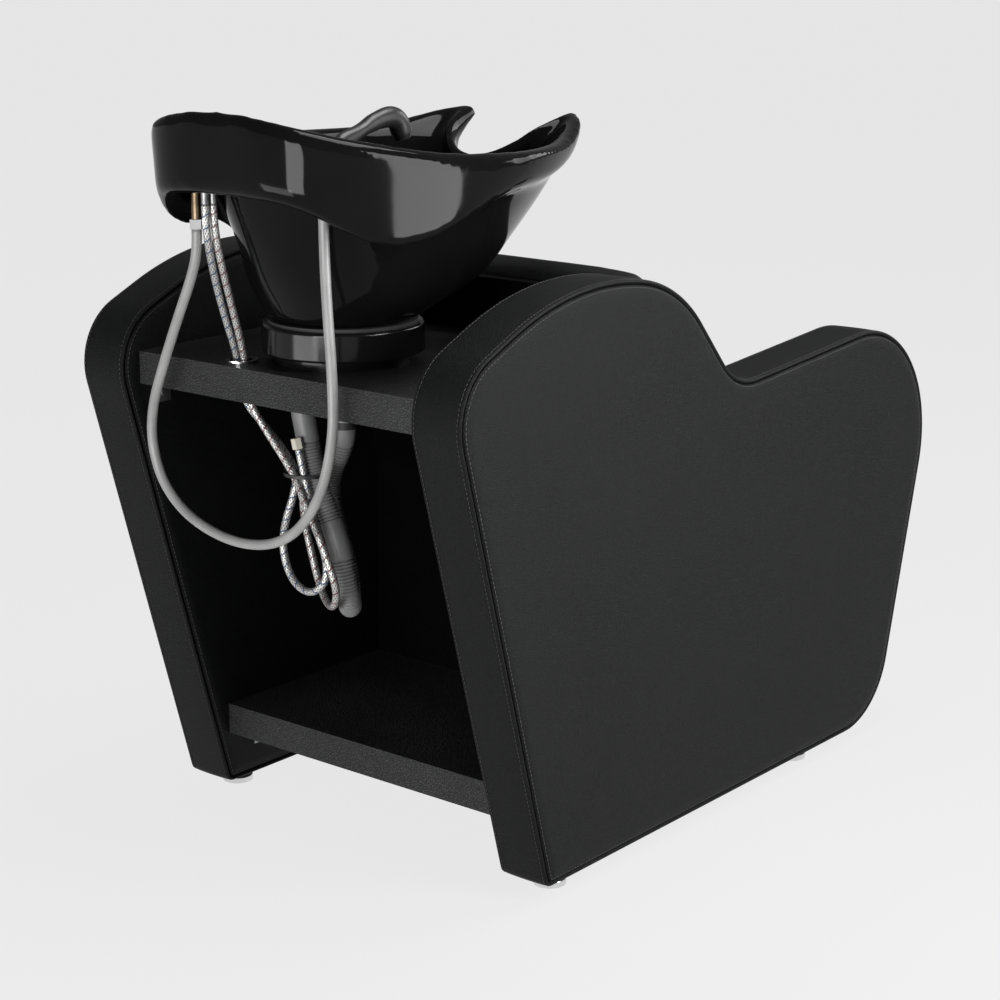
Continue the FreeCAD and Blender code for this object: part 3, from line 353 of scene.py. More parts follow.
def board(name, dark, light):
    """Raw board: short wood flakes, pressed."""
    finish = Finish(name)
    flakes = finish.node("ShaderNodeTexNoise", sockets={"Vector": finish.place(), "Scale": 160.0, "Detail": 5.0,
                                                        "Distortion": 1.5})
    finish.feed(Base_Color=finish.ramp(flakes, [(0.3, dark), (0.7, light)]), Roughness=0.62 + flakes * 0.2)
    return finish.bump(flakes, 0.0002)


GLAZE = glaze()
GLOSS_BLACK = moulded("gloss_black_plastic", (0.003, 0.003, 0.0032), (0.006, 0.006, 0.0064), 0.06, 1500.0, 0.00002, 0.2)
SATIN_BLACK = moulded("satin_black_plastic", (0.006, 0.006, 0.0065), (0.013, 0.013, 0.0135), 0.28)
RUBBER = moulded("black_rubber", (0.012, 0.012, 0.012), (0.03, 0.03, 0.03), 0.62)
IVORY = moulded("ivory_plastic", (0.38, 0.36, 0.3), (0.5, 0.48, 0.41), 0.36)
GREY_PIPE = moulded("grey_polypropylene", (0.085, 0.087, 0.086), (0.15, 0.153, 0.15), 0.36)
CHROME = metal("chrome_plate", (0.66, 0.66, 0.67), (0.8, 0.8, 0.81), 0.05)
ZINC = metal("zinc_plate", (0.2, 0.2, 0.205), (0.34, 0.34, 0.345), 0.36)
BRASS = metal("machined_brass", (0.13, 0.095, 0.06), (0.23, 0.175, 0.115), 0.32)
# painted shade: a darker steel for the drain clip, which stands in deep shade
SHADE_PAINTED_STEEL = metal("shade_painted_steel", (0.025, 0.025, 0.026), (0.05, 0.05, 0.052), 0.5)
RAW_BOARD = board("raw_board", (0.26, 0.17, 0.09), (0.46, 0.33, 0.19))
print("hard finishes", len(bpy.data.materials))

# %% [markdown]
# ## Finishes on the solids
# A solid whose shape is already right keeps its mesh and only takes a finish. The record names one slot for each
# node, so the finish follows from the slot. A few boards and a clip in deep shade take darker copies: painted shade.

# %% Finish every node
SLOT_FINISH = {
    "upholstery": LEATHER, "carcass_board": RAW_BOARD, "grained_laminate": LAMINATE, "black_ceramic": GLAZE,
    "black_gloss_plastic": GLOSS_BLACK, "black_rubber": RUBBER, "satin_black_plastic": SATIN_BLACK,
    "chrome_plate": CHROME, "brass_fitting": BRASS, "ivory_plastic": IVORY, "grey_vinyl": GREY_PIPE,
    "braided_steel": ZINC, "grey_polypropylene": GREY_PIPE, "foot_steel": CHROME, "zinc_steel": ZINC,
}
# painted shade: darker finishes for the boards and the clip that stand in deep shade
PAINTED_SHADE_FINISH = {"rear_wall": SHADE_PAINTED_BOARD, "back_board": SHADE_PAINTED_BOARD, "seat_deck": SHADE_PAINTED_BOARD, "apron_board": SHADE_PAINTED_BOARD,
                 "drain_clip": SHADE_PAINTED_STEEL}
SLOT_OF = {part["node"]: part["material_slot"] for part in frame["record"]["subparts"]}
for node_name, node in NODES.items():
    node.data.materials.clear()
    node.data.materials.append(PAINTED_SHADE_FINISH.get(node_name, SLOT_FINISH[SLOT_OF[node_name]]))
print("finished nodes", len(SLOT_OF))

# %% [markdown]
# ## Lines
# Hoses, outlines and rows of stitches share a few sums: unit vectors, the distance along a line at each of its points,
# and the places at given distances.


# %% Line helpers
def unit(vectors):
    """The same directions with length one."""
    return vectors / np.linalg.norm(vectors, axis=-1, keepdims=True)


def reach_of(line):
    """The distance along a line at each of its points."""
    return np.concatenate([[0.0], np.cumsum(np.linalg.norm(np.diff(line, axis=0), axis=1))])


def even_spots(reach, spacing):
    """Distances from one end of a line to the other, as near the spacing as they divide it evenly."""
    return np.linspace(0.0, reach[-1], int(round(reach[-1] / spacing)) + 1)


def at_reach(line, reach, spots):
    """The places on a line at these distances along it."""
    return np.stack([np.interp(spots, reach, line[:, k]) for k in range(line.shape[1])], -1)


print("line helpers ready")

# %% [markdown]
# ## Hoses
# A hose is a fixed length of something flexible. Each route is the list of points that the solid follows. They are the
# control points of one NURBS spline, whose line is smooth, and the tube is a ring carried along that line. A ring
# needs a steady sideways direction, so each hose names one that it never runs along.


# %% Hose helpers
def smooth_line(route, spacing):
    """Points at an even spacing along the NURBS spline that has the route as its control points."""
    curve = bpy.data.curves.new("line", "CURVE")
    curve.dimensions = "3D"
    curve.resolution_u = 24
    spline = curve.splines.new("NURBS")
    spline.points.add(len(route) - 1)
    spline.points.foreach_set("co", np.column_stack([route, np.ones(len(route))]).ravel())
    spline.order_u = 3
    spline.use_endpoint_u = True
    holder = bpy.data.objects.new("line", curve)
    mesh = bpy.data.meshes.new_from_object(holder)
    raw = read_points(mesh)
    bpy.data.meshes.remove(mesh)
    bpy.data.objects.remove(holder)
    bpy.data.curves.remove(curve)
    reach = reach_of(raw)
    even = even_spots(reach, spacing)
    return at_reach(raw, reach, even), even


def tube(name, line, reach, radius, steady, sides):
    """A ring of so many sides carried along a line; radius is one number or one for each point. Ends are closed."""
    ahead = unit(np.gradient(line, axis=0))
    across = unit(np.cross(ahead, np.asarray(steady, float)))
    up = np.cross(across, ahead)
    order = np.concatenate([[0], np.arange(len(line)), [len(line) - 1]])
    size = np.concatenate([[0.0], np.broadcast_to(radius, len(line)), [0.0]])
    turn = 2 * np.pi * np.arange(sides)[None, :, None] / sides
    ring = np.cos(turn) * across[order][:, None] + np.sin(turn) * up[order][:, None]
    points = line[order][:, None] + size[:, None, None] * ring
    uv = np.stack(np.broadcast_arrays(reach[order][:, None], np.linspace(0.0, 1.0, sides + 1)[None]), -1)
    return grid_piece(name, points, uv)


print("hose helpers ready")

# %% [markdown]
# The supply hoses are steel braid with a coloured thread, blue for cold and red for hot. On the tube's own UV map
# the braid is two sets of slanting waves that pass over and under each other, and the thread is a steep spiral in
# short flecks.

# %% Hose finishes
# Waves: radians a metre along the hose, radians a turn round it
BRAID_ALONG, BRAID_ROUND = 900.0, 50.27
THREAD_ALONG, THREAD_ROUND = 400.0, 6.283
THREAD_SHOWS = 0.93
DRAWN_ROUND = 157.08


def braid(name, thread):
    """Steel braid: two slanting waves, with one coloured thread that shows only where it passes over."""
    finish = Finish(name)
    length, turn = finish.along()
    one = (length * BRAID_ALONG + turn * BRAID_ROUND).sine() * 0.5 + 0.5
    two = (length * BRAID_ALONG - turn * BRAID_ROUND).sine() * 0.5 + 0.5
    weave = one.most(two)
    stripe = (length * THREAD_ALONG + turn * THREAD_ROUND).sine().above(THREAD_SHOWS)
    steel = finish.ramp(weave, [(0.3, (0.1, 0.1, 0.1)), (0.9, (0.5, 0.495, 0.48))])
    finish.feed(Base_Color=finish.blend(stripe, steel, (*thread, 1.0)), Metallic=0.7 - stripe * 0.65,
                Roughness=0.42 - weave * 0.14)
    return finish.bump(weave, 0.0004)


def vinyl(name, dark, light):
    """Smooth extruded vinyl: faint draw lines along the hose and a slow change of tone."""
    finish = Finish(name)
    turn = finish.along()[1]
    lines = (turn * DRAWN_ROUND).sine() * 0.5 + 0.5
    drift = finish.noise(18.0, 3.0)
    finish.feed(Base_Color=finish.ramp(drift * 0.8 + lines * 0.2, [(0.3, dark), (0.75, light)]),
                Roughness=0.3 + drift * 0.14)
    return finish.bump(lines, 0.00005)


COLD_BRAID = braid("braid_blue_thread", (0.01, 0.035, 0.1))
HOT_BRAID = braid("braid_red_thread", (0.08, 0.006, 0.008))
GREY_VINYL = vinyl("grey_vinyl", (0.165, 0.165, 0.165), (0.25, 0.25, 0.246))
print("hose finishes", COLD_BRAID.name, HOT_BRAID.name, GREY_VINYL.name)

# %% Hose routes
SPRAY_ROUTE = np.array([
    (93.5, 527, 852), (93.5, 527, 824), (104, 528.5, 790), (131, 528, 738), (160, 527, 680), (189, 527, 612),
    (192, 527, 558), (170, 527, 506), (116, 527, 468), (30, 527, 452), (-50, 527, 470), (-106, 526, 528),
    (-130, 522, 612), (-126, 518, 690), (-114, 512, 770), (-105, 506, 835), (-105, 506, 889)]) / 1000
COLD_ROUTE = np.array([
    (79, 525, 884), (79, 525, 850), (90, 503, 790), (96, 481, 735), (96, 460, 680), (94, 455, 622), (70, 440, 588),
    (42, 433.5, 558), (20.5, 433, 531), (20, 440, 505), (31, 446, 469), (36, 448, 437), (28, 449, 406), (7, 452, 385),
    (-21, 453, 380), (-40, 446, 398), (-36, 440, 425), (-22, 438, 450), (-8, 437.5, 487), (4, 437, 530),
    (12, 438.5, 566)]) / 1000
HOT_ROUTE = np.array([
    (76, 514, 884), (76, 514, 850), (79, 496, 790), (83, 476, 735), (84, 459, 680), (83, 456, 622), (62, 450, 590),
    (38, 446.5, 560), (14, 444.5, 531), (-8, 450, 500), (-34, 453, 462), (-55, 453, 420), (-62, 449, 388),
    (-45, 438, 362), (-14, 419, 358), (10, 409, 382), (22, 408, 418), (33, 408, 455), (36, 409, 495),
    (31, 407.5, 531), (40, 401, 566)]) / 1000
DRAIN_ROUTE = np.array([
    (0, 363, 596), (0, 363, 562), (26, 366, 521), (30, 364, 478), (18, 362, 436), (4, 362, 398), (-8, 368, 364),
    (-28, 389, 347), (-47, 409, 364), (-45, 415, 398), (-37, 415, 432), (-22, 415, 470), (-3, 415, 506),
    (12, 415, 545), (27, 415, 614)]) / 1000
print("route points", len(SPRAY_ROUTE), len(COLD_ROUTE), len(HOT_ROUTE), len(DRAIN_ROUTE))

# %% Spray hose and supply hoses
SPRAY_HOSE_R = 0.0065
SUPPLY_HOSE_R = 0.005
SUPPLIES = [("cold", COLD_ROUTE, COLD_BRAID, (0, 1, 0.1)), ("hot", HOT_ROUTE, HOT_BRAID, (0.6, 0.8, 0))]
spray_line, spray_reach = smooth_line(SPRAY_ROUTE, 0.004)
spray_hose = tube("spray_hose_soft", spray_line, spray_reach, SPRAY_HOSE_R, (0, 1, 0), 24)
dress(spray_hose, GREY_VINYL)
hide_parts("spray_hose")
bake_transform(spray_hose)
print("spray hose", round(float(spray_reach[-1]), 3))
for word, route, finish, steady in SUPPLIES:
    line, reach = smooth_line(route, 0.003)
    supply = dress(tube(word + "_hose_soft", line, reach, SUPPLY_HOSE_R, steady, 20), finish)
    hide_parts(word + "_hose")
    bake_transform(supply)
    print(word, "hose", round(float(reach[-1]), 3))

# %% [markdown]
# The hand spray's handle goes down through its holder to the hose. The solid handle stops at the holder's flange, so
# the stem is made here. It stays out of sight until the spray is lifted.

# %% Hand spray stem
STEM_R = 0.0116
STEM_X, STEM_Y = -0.105, 0.506
STEM_Z = np.linspace(0.903, 0.9413, 9)
stem_line = np.column_stack([np.full_like(STEM_Z, STEM_X), np.full_like(STEM_Z, STEM_Y), STEM_Z])
stem = tube("spray_stem", stem_line, reach_of(stem_line), STEM_R, (0, 1, 0), 40)
dress(stem, SATIN_BLACK)
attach(stem, "handset")
print("spray stem", len(stem.data.vertices), "points")

# %% [markdown]
# ## The corrugated drain hose
# It hangs in one hairpin. Its radius changes along its length: plain cuffs at both ends and one plain sleeve between,
# with rings everywhere else. The rings are a flattened sine of the distance along the hose.

# %% Drain hose
CUFF_R = 0.0151
CUFF_EDGE = 0.003
TOP_CUFF, END_CUFF = 0.034, 0.044
SLEEVE_SHARE, SLEEVE_LONG = 0.64, 0.052
RIB_R = 0.015
RIB_DEPTH = 0.0018
RIB_PITCH = 0.0042
RIB_FLAT = 2.2


def cuff_step(value, start):
    """0 before start, 1 after it, over the width of a cuff's edge, with no corner."""
    share = np.clip((value - start) / CUFF_EDGE + 0.5, 0.0, 1.0)
    return share * share * (3 - 2 * share)


drain_line, drain_reach = smooth_line(DRAIN_ROUTE, 0.0007)
drain_long = drain_reach[-1]
sleeve_at = SLEEVE_SHARE * drain_long
plain = (1 - cuff_step(drain_reach, TOP_CUFF) + cuff_step(drain_reach, drain_long - END_CUFF)
         + cuff_step(drain_reach, sleeve_at) - cuff_step(drain_reach, sleeve_at + SLEEVE_LONG))
wave = np.tanh(RIB_FLAT * np.sin(2 * np.pi * drain_reach / RIB_PITCH)) / np.tanh(RIB_FLAT)
ribbed = RIB_R - RIB_DEPTH / 2 + wave * RIB_DEPTH / 2
drain_radius = plain * CUFF_R + (1 - plain) * ribbed
drain_hose = tube("drain_hose_soft", drain_line, drain_reach, drain_radius, (1, 0.9, 0), 28)
dress(drain_hose, GREY_PIPE)
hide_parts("drain_hose")
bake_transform(drain_hose)
print("drain hose", round(float(drain_long), 3), "rings", int(drain_long / RIB_PITCH))

# %% [markdown]
# ## The side panels
# Each panel is a board wrapped in three pieces of leather: an outer face, an inner face, and a band between
# them. The outline has straight runs and round corners, as the solid has. The band goes round the edge and folds over
# both faces down to a sewn valley. A face rises out of that valley in a soft roll and is slightly crowned, so it is
# the outline drawn in step by step.

# %% Panel outline
# Corners in millimetres: y, z, radius
PANEL_CORNERS = [(350, 20, 12), (537, 699, 90), (298, 807, 460), (78, 772, 228), (-63, 612, 100), (-645.5, 658, 185),
                 (-484, 20, 120)]
PANEL_SPACING = 0.006
ARC_POINTS = 60


def rounded_outline(corners, spacing):
    """Even points round a polygon whose corners are arcs: each arc touches both runs at r * tan(half the turn)."""
    runs = []
    for k, (y, z, radius) in enumerate(corners):
        here = np.array([y, z])
        before = unit(np.array(corners[k - 1][:2]) - here)
        after = unit(np.array(corners[(k + 1) % len(corners)][:2]) - here)
        half = math.acos(float(before @ after)) / 2
        middle = here + unit(before + after) * radius / math.sin(half)
        start = here + before * radius / math.tan(half) - middle
        end = here + after * radius / math.tan(half) - middle
        turn = math.atan2(start[0] * end[1] - start[1] * end[0], float(start @ end))
        angle = np.linspace(0.0, turn, ARC_POINTS)[:, None]
        sideways = np.array([-start[1], start[0]])
        runs.append(middle + np.cos(angle) * start + np.sin(angle) * sideways)
    loop = np.concatenate(runs + [runs[0][:1]]) / 1000
    reach = reach_of(loop)
    points = at_reach(loop, reach, even_spots(reach, spacing)[:-1])
    ahead = unit(np.roll(points, -1, axis=0) - np.roll(points, 1, axis=0))
    return points, np.stack([-ahead[:, 1], ahead[:, 0]], -1), reach[-1]


outline, inward, outline_long = rounded_outline(PANEL_CORNERS, PANEL_SPACING)
PANEL_MIDDLE = np.array([-0.05, 0.35])
print("outline", len(outline), "points", round(float(outline_long), 3), "m")

# %% Panel sizes
INNER_X = 0.250
PAD = 0.012
CORE = 0.058
FACE_CROWN = 0.003
SEAM_RISE = 0.0005
VALLEY = 0.0065
ROLL_WIDE = 0.016
ROLL_HIGH = 0.0055
BAND_THICK = 0.008
BAND_CROWN = 0.0008
FOLD_R = 0.003
FOLD_REACH = 0.0095
STITCH_OUT = 0.0045
STITCH_DENT = 0.0005
STITCH_DENT_WIDE = 0.0012
SAFE_INSET = 8
print("panel", 2 * PAD + CORE, "m thick")


# %% Panel helpers
def ring(inset, x, side):
    """The outline drawn in by an inset, at a distance out from the sitter's side of the panel.

    An inset past SAFE_INSET millimetres is averaged with its neighbours, more so the deeper it is, so that it can't
    cross itself at a small corner.
    """
    drawn = outline + inward * inset
    for _ in range(max(0, int(inset * 1000) - SAFE_INSET)):
        drawn = drawn / 2 + (np.roll(drawn, 1, axis=0) + np.roll(drawn, -1, axis=0)) / 4
    return np.column_stack([np.full(len(drawn), side * (INNER_X + x)), drawn])


def face_piece(name, side, base, out):
    """One padded face: flat behind, a quarter of an ellipse out of the valley, then a smooth hump to the middle.

    base is the sewn plane and out is +1 or -1, the way that the padding faces.
    """
    roll = np.radians(np.linspace(0, 90, 10))
    insets = np.concatenate([[VALLEY], VALLEY + ROLL_WIDE * (1 - np.cos(roll))])
    rise = np.concatenate([[SEAM_RISE], PAD - ROLL_HIGH + ROLL_HIGH * np.sin(roll)])
    rows = [ring(inset, base + out * height, side) for inset, height in zip(insets, rise)]
    edge = rows[-1]
    centre = np.array([side * (INNER_X + base), *PANEL_MIDDLE])
    shares = np.linspace(0.0, 1.0, 22)[1:]
    crown = out * side * FACE_CROWN * np.sin(shares * np.pi / 2)
    lifted = np.array([side * out * PAD, 0, 0])
    front = [edge + (centre + lifted - edge) * share + np.array([hump, 0, 0]) for share, hump in zip(shares, crown)]
    back = [rows[0] + (centre - rows[0]) * share for share in (1.0, 0.75, 0.5, 0.25)]
    return grid_piece(name, np.stack(back + rows + front))


def band_piece(name, side):
    """The sewn band: flat with a slight crown, a quarter-round fold at each edge, and its ends down in the valleys."""
    fold = np.radians(np.linspace(90, 0, 9))
    middle = PAD + CORE / 2
    half = CORE / 2 + FOLD_REACH
    x = np.concatenate([[half - 0.0045, half - 0.002], half - FOLD_R + FOLD_R * np.sin(fold)])
    inset = np.concatenate([[VALLEY + 0.0012, FOLD_R + 0.0015], FOLD_R * (1 - np.cos(fold))])
    flat = np.sin(np.linspace(1.0, -1.0, 31)[1:-1] * np.pi / 2)
    from_stitches = np.abs(flat) * (half - FOLD_R) - CORE / 2 - STITCH_OUT
    dent = STITCH_DENT * np.exp(-(from_stitches / STITCH_DENT_WIDE) ** 2)
    outside = list(zip(inset, x)) + list(zip(dent - BAND_CROWN * (1 - flat ** 2), flat * (half - FOLD_R)))
    outside += list(zip(inset[::-1], -x[::-1]))
    outer = [ring(draw, middle + across, side) for draw, across in outside]
    inner = [ring(BAND_THICK, middle + across * CORE / 2, side) for across in (-1.0, 0.0, 1.0)]
    return grid_piece(name, np.stack(outer + inner + outer[:1]))


print("panel helpers ready")

# %% [markdown]
# ## Topstitching
# Two rows of stitches run beside each seam. A stitch is a short thread that dips into the leather at both ends: five
# small rings of five points, thin at the ends. All stitches of a row are one mesh.

# %% Stitches
STITCH_LONG = 0.0044
STITCH_PITCH = 0.0062
STITCH_R = 0.00042
STITCH_SIDES = 5
# Each ring of a stitch: its place in lengths, its radius and its height in thread radii
RING_AT = np.array([-0.5, -0.3, 0.0, 0.3, 0.5])
RING_R = STITCH_R * np.array([0.35, 0.9, 1.0, 0.9, 0.35])[None, :, None, None]
RING_UP = STITCH_R * np.array([-0.6, 0.5, 0.8, 0.5, -0.6])[None, :, None, None]
STITCH_FACES = (len(RING_AT) - 1) * STITCH_SIDES + 2


def stitch_row(name, line, lift):
    """Short threads along a closed line; lift is the outward direction at each of its points."""
    closed = np.concatenate([line, line[:1]])
    reach = reach_of(closed)
    count = int(reach[-1] / STITCH_PITCH)
    spots = (np.arange(count)[:, None] + 0.5) * reach[-1] / count + RING_AT * STITCH_LONG
    spots = np.mod(spots, reach[-1])
    place = at_reach(closed, reach, spots)
    away = at_reach(np.concatenate([lift, lift[:1]]), reach, spots)
    ahead = unit(place[:, -1] - place[:, 0])[:, None]
    across = np.cross(away, np.broadcast_to(ahead, away.shape))
    turn = 2 * np.pi * np.arange(STITCH_SIDES)[:, None] / STITCH_SIDES
    around = np.cos(turn) * across[:, :, None] + np.sin(turn) * away[:, :, None]
    points = place[:, :, None] + away[:, :, None] * RING_UP + RING_R * around
    number = np.arange(points[..., 0].size).reshape(points.shape[:3])
    after = np.roll(number, -1, axis=2)
    quads = np.stack([number[:, :-1], after[:, :-1], after[:, 1:], number[:, 1:]], -1)
    caps = np.stack([number[:, 0, ::-1], number[:, -1]], 1)
    faces = quads.reshape(-1, 4).tolist() + caps.reshape(-1, STITCH_SIDES).tolist()
    mesh = bpy.data.meshes.new(name)
    mesh.from_pydata(points.reshape(-1, 3).tolist(), [], faces)
    turned = bmesh.new()
    turned.from_mesh(mesh)
    bmesh.ops.recalc_face_normals(turned, faces=turned.faces)
    turned.to_mesh(mesh)
    turned.free()
    mesh.shade_smooth()
    return add_object(name, mesh)


def thread():
    """Waxed thread: twisted, a little lighter than the leather."""
    finish = Finish("charcoal_thread")
    twist = finish.noise(1500.0, 2.0)
    finish.feed(Base_Color=finish.ramp(twist, [(0.3, (0.02, 0.02, 0.02)), (0.7, (0.06, 0.0595, 0.058))]),
                Roughness=0.5 + twist * 0.2)
    return finish.bump(twist, 0.0001)


THREAD = thread()
print("stitch", STITCH_LONG, "every", STITCH_PITCH)

# %% Panels
STITCH_TILT = math.radians(38)
ROW_INSET = VALLEY + ROLL_WIDE * (1 - math.cos(STITCH_TILT))
ROW_RISE = PAD - ROLL_HIGH + ROLL_HIGH * math.sin(STITCH_TILT)
ROW_LEAN = unit(np.array([ROLL_HIGH * math.cos(STITCH_TILT), ROLL_WIDE * math.sin(STITCH_TILT)]))
for side, word in ((-1, "right"), (1, "left")):
    outer_face = face_piece("outer_cover_soft_" + word, side, PAD + CORE, 1)
    inner_face = face_piece("inner_cover_soft_" + word, side, PAD, -1)
    band = band_piece("edge_band_soft_" + word, side)
    for piece, node in ((outer_face, "outer_cover_"), (inner_face, "inner_cover_"), (band, "edge_band_")):
        dress(piece, LEATHER)
        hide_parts(node + word)
        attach(piece, "frame")
    out = np.column_stack([np.zeros(len(outline)), -inward])
    for seam, x, face in (("outer", PAD + CORE, 1), ("inner", PAD, -1)):
        on_roll = ring(ROW_INSET, x + face * ROW_RISE, side)
        off_roll = out * ROW_LEAN[0] + np.array([side * face * ROW_LEAN[1], 0.0, 0.0])
        rows = [stitch_row(seam + "_band_stitches_" + word, ring(0.0001, x + face * STITCH_OUT, side), out),
                stitch_row(seam + "_face_stitches_" + word, on_roll, off_roll)]
        for row in rows:
            dress(row, THREAD)
            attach(row, "frame")
print("panels", len(outer_face.data.polygons), "faces each")
print("stitches", len(rows[0].data.polygons) // STITCH_FACES, "in a row")

# %% [markdown]
# ## The basin
# A basin like this is slip cast and glazed, so it has no sharp edge anywhere: the glaze pulls back from corners and
# pools in hollows. The solid has the right sections but hard edges. Here its mesh is remade as an even net of small
# squares, and every point then moves towards the mean of its neighbours and part of the way back. That rounds the rim
# and the crease under it and leaves broad surfaces where they are.


# %% Even net and smoothing
EASE, BACK = 0.5, -0.52


def own_copy(name, node):
    """A separate object with a merged copy of a node's mesh."""
    mesh = NODES[node].data.copy()
    mesh.materials.clear()
    merge_doubles(mesh, apart=2e-6)
    return add_object(name, mesh)


def bake_modifiers(piece):
    """Replace a piece's mesh by what its modifiers make of it now."""
    seen = piece.evaluated_get(bpy.context.evaluated_depsgraph_get())
    mesh = bpy.data.meshes.new_from_object(seen)
    piece.modifiers.clear()
    piece.data = mesh
    return piece


def even_net(piece, voxel):
    """Remake a closed mesh as squares of one size."""
    net = piece.modifiers.new("net", "REMESH")
    net.mode = "VOXEL"
    net.voxel_size = voxel
    return bake_modifiers(piece)


def smoothed(mesh, rounds, evens):
    """Move every point part of the way to the mean of its neighbours, so many rounds in a row.

    The evens after them do the same and then move it a little more than that back, which keeps the size.
    """
    points = read_points(mesh)
    ends = np.empty(len(mesh.edges) * 2, dtype=np.int64)
    mesh.edges.foreach_get("vertices", ends)
    one, two = ends.reshape(-1, 2).T
    here, there = np.concatenate([one, two]), np.concatenate([two, one])
    count = np.bincount(here, minlength=len(points))[:, None]
    for share in [EASE] * rounds + [EASE, BACK] * evens:
        total = np.stack([np.bincount(here, points[there, k], len(points)) for k in range(3)], -1)
        points = points + share * (total / count - points)
    write_points(mesh, points)


print("net helpers ready")

# %% Basin
BASIN_NET = 0.0035
bowl = even_net(own_copy("basin_glazed", "basin_bowl"), BASIN_NET)
smoothed(bowl.data, 44, 60)
bowl.data.shade_smooth()
dress(bowl, GLAZE)
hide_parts("basin_bowl")
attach(bowl, "basin")
print("basin", len(bowl.data.polygons), "faces")

# %% [markdown]
# ## Seat and backrest
# Foam in a sewn cover swells until the cover is tight. Cloth simulation does just that: the cushion's solid, slightly
# shrunk, becomes a net of cloth with pressure inside, and the steps are run here and kept. A cap on each point's move
# and the solid's own box, a little raised, hold the cushion to its place.

# %% Cushion helper
CUSHION_NET = 0.006
CLOTH_STEPS = 20
COVER_STIFF = 12.0
MOST_MOVE = 0.022
MOST_RISE = np.array([0.0, 0.0, 0.006])


def plump(name, node, shrink, pressure):
    """Swell a shrunk copy of a node as cloth under pressure, and cap how far each point may move."""
    piece = even_net(own_copy(name, node), CUSHION_NET)
    start = read_points(piece.data)
    low, high = start.min(axis=0), start.max(axis=0)
    middle = (low + high) / 2
    start = middle + (start - middle) * (1 - 2 * shrink / (high - low))
    write_points(piece.data, start)
    cloth = piece.modifiers.new("cover", "CLOTH")
    cloth.settings.effector_weights.gravity = 0.0
    cloth.settings.use_pressure = True
    cloth.settings.uniform_pressure_force = pressure
    cloth.settings.bending_stiffness = COVER_STIFF
    cloth.settings.quality = 4
    for step in range(1, CLOTH_STEPS + 1):
        bpy.context.scene.frame_set(step)
    bake_modifiers(piece)
    move = read_points(piece.data) - start
    far = np.linalg.norm(move, axis=1, keepdims=True)
    points = start + move * np.minimum(1.0, MOST_MOVE / np.maximum(far, 1e-9))
    write_points(piece.data, np.clip(points, low, high + MOST_RISE))
    smoothed(piece.data, 4, 20)
    bpy.context.scene.frame_set(1)
    print(name, "moved up to", round(float(far.max()) * 1000, 1), "mm")
    soft = piece.modifiers.new("soft", "SUBSURF")
    soft.levels = soft.render_levels = 1
    piece.data.shade_smooth()
    return piece


print("cushion net", CUSHION_NET, "m")

# %% Cushions
seat = plump("seat_cushion_soft", "seat_cushion", 0.008, 1.6)
backrest = plump("backrest_cushion_soft", "backrest_cushion", 0.007, 1.2)
for piece, node in ((seat, "seat_cushion"), (backrest, "backrest_cushion")):
    dress(piece, LEATHER)
    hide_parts(node)
    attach(piece, "frame")
print("cushions", len(seat.data.polygons), len(backrest.data.polygons))

# %% [markdown]
# The cover of the front apron is only stretched over thin wadding. Its net is rounded and pushed out along its own
# normals by a hump that is full in the middle and nothing at the edges.

# %% Apron cover
APRON_NET = 0.005
APRON_CROWN = 0.004
apron = even_net(own_copy("apron_cover_soft", "apron_cover"), APRON_NET)
smoothed(apron.data, 6, 10)
apron_points = read_points(apron.data)
away = np.empty(apron_points.size)
apron.data.vertex_normals.foreach_get("vector", away)
away = away.reshape(-1, 3)
low, high = apron_points.min(axis=0), apron_points.max(axis=0)
across = np.clip((2 * apron_points - low - high) / (high - low), -1.0, 1.0)
hump = (1 - across[:, 0] ** 4) * (1 - across[:, 2] ** 4) * np.clip(-away[:, 1], 0.0, 1.0)
write_points(apron.data, apron_points + away * (APRON_CROWN * hump)[:, None])
apron.data.shade_smooth()
dress(apron, LEATHER)
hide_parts("apron_cover")
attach(apron, "frame")
print("apron cover", len(apron.data.polygons), "faces")

# %% [markdown]
# ## Light and floor
# A dim even sky and five soft boxes. Gloss black shows its lamps and little else, so the boxes stand where the
# photograph has its highlights: one on the near side, one beside the rear corner and a low one for the collar. One
# above and one in front light the rest. The floor is pale and large and fills the view. Seen straight or in a
# reflection it is mostly its own pale tone, so that the lamps' pools of light hardly show on it, and it keeps a soft
# shadow.

# %% Lamps and sky
SKY = 0.22
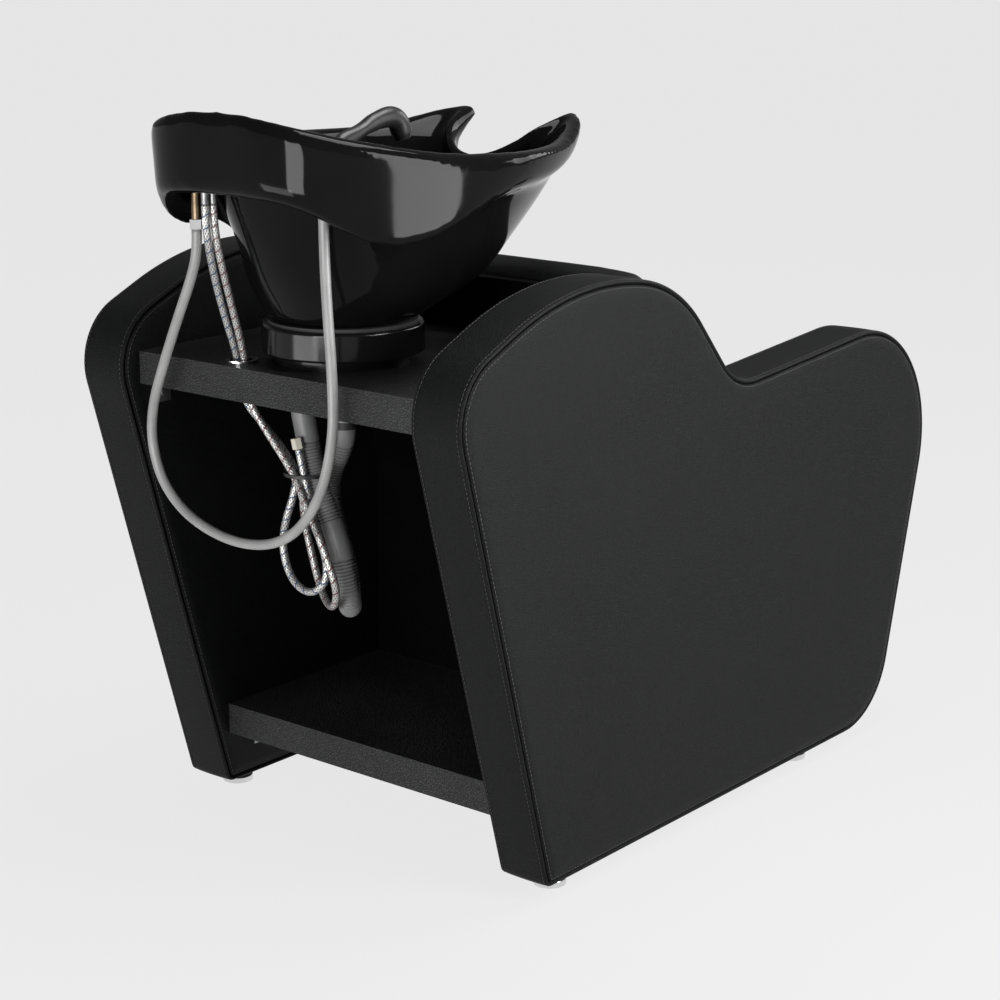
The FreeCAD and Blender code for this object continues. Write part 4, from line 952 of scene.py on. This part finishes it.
# Name, place, aim, width, height, watts
LAMPS = [
    ("near_box", (-1.75, 0.04, 1.1), (-0.1, 0.3, 1.05), 0.7, 1.5, 57.0),
    ("corner_box", (-0.5, 2.33, 0.68), (-0.1, 0.5, 0.9), 0.86, 0.55, 27.0),
    ("collar_box", (0.35, 2.23, 0.33), (0.0, 0.46, 0.7), 1.25, 0.3, 9.5),
    ("top_box", (-0.5, -0.3, 3.3), (0.0, 0.1, 0.6), 1.5, 1.5, 72.0),
    ("front_box", (-1.2, -3.3, 2.2), (0.0, 0.0, 0.6), 2.0, 1.6, 48.0),
]
for name, at, aim, width, height, watts in LAMPS:
    data = bpy.data.lights.new(name, "AREA")
    data.shape = "RECTANGLE"
    data.size, data.size_y, data.energy = width, height, watts
    lamp = add_object(name, data)
    lamp.location = at
    lamp.rotation_euler = (Vector(aim) - Vector(at)).to_track_quat("-Z", "Y").to_euler()

world = bpy.data.worlds.new("sky")
bpy.context.scene.world = world
world.use_nodes = True
world.node_tree.nodes["Background"].inputs["Color"].default_value = grey(1.0)
world.node_tree.nodes["Background"].inputs["Strength"].default_value = SKY
bpy.context.scene.view_settings.view_transform = "Standard"
print("lamps", len(bpy.data.lights), "sky", SKY)

# %% Floor
FLOOR_REACH = 120.0
FLOOR_TONE = 0.82
FLOOR_OWN = 0.95
floor_mesh = bpy.data.meshes.new("floor")
FLOOR_CORNERS = [(FLOOR_REACH * x, FLOOR_REACH * y, 0) for x, y in ((-1, -1), (1, -1), (1, 1), (-1, 1))]
floor_mesh.from_pydata(FLOOR_CORNERS, [], [(0, 1, 2, 3)])
floor = add_object("floor", floor_mesh)
paint = Finish("pale_floor", Base_Color=grey(0.8), Roughness=0.95, Specular_IOR_Level=0.0)
seen = paint.node("ShaderNodeLightPath")
mirrored = Value(paint, seen.socket.node.outputs["Is Glossy Ray"])
through = Value(paint, seen.socket.node.outputs["Is Transmission Ray"])
own = paint.node("ShaderNodeEmission", sockets={"Color": grey(FLOOR_TONE), "Strength": 1.0})
both = paint.node("ShaderNodeMixShader", sockets={0: seen.most(mirrored).most(through) * FLOOR_OWN,
                                                  1: Value(paint, paint.shader.outputs[0]), 2: own})
paint.tree.links.new(both.socket, paint.tree.nodes["Material Output"].inputs["Surface"])
floor.data.materials.append(paint.material)
print("floor", FLOOR_REACH, "m")
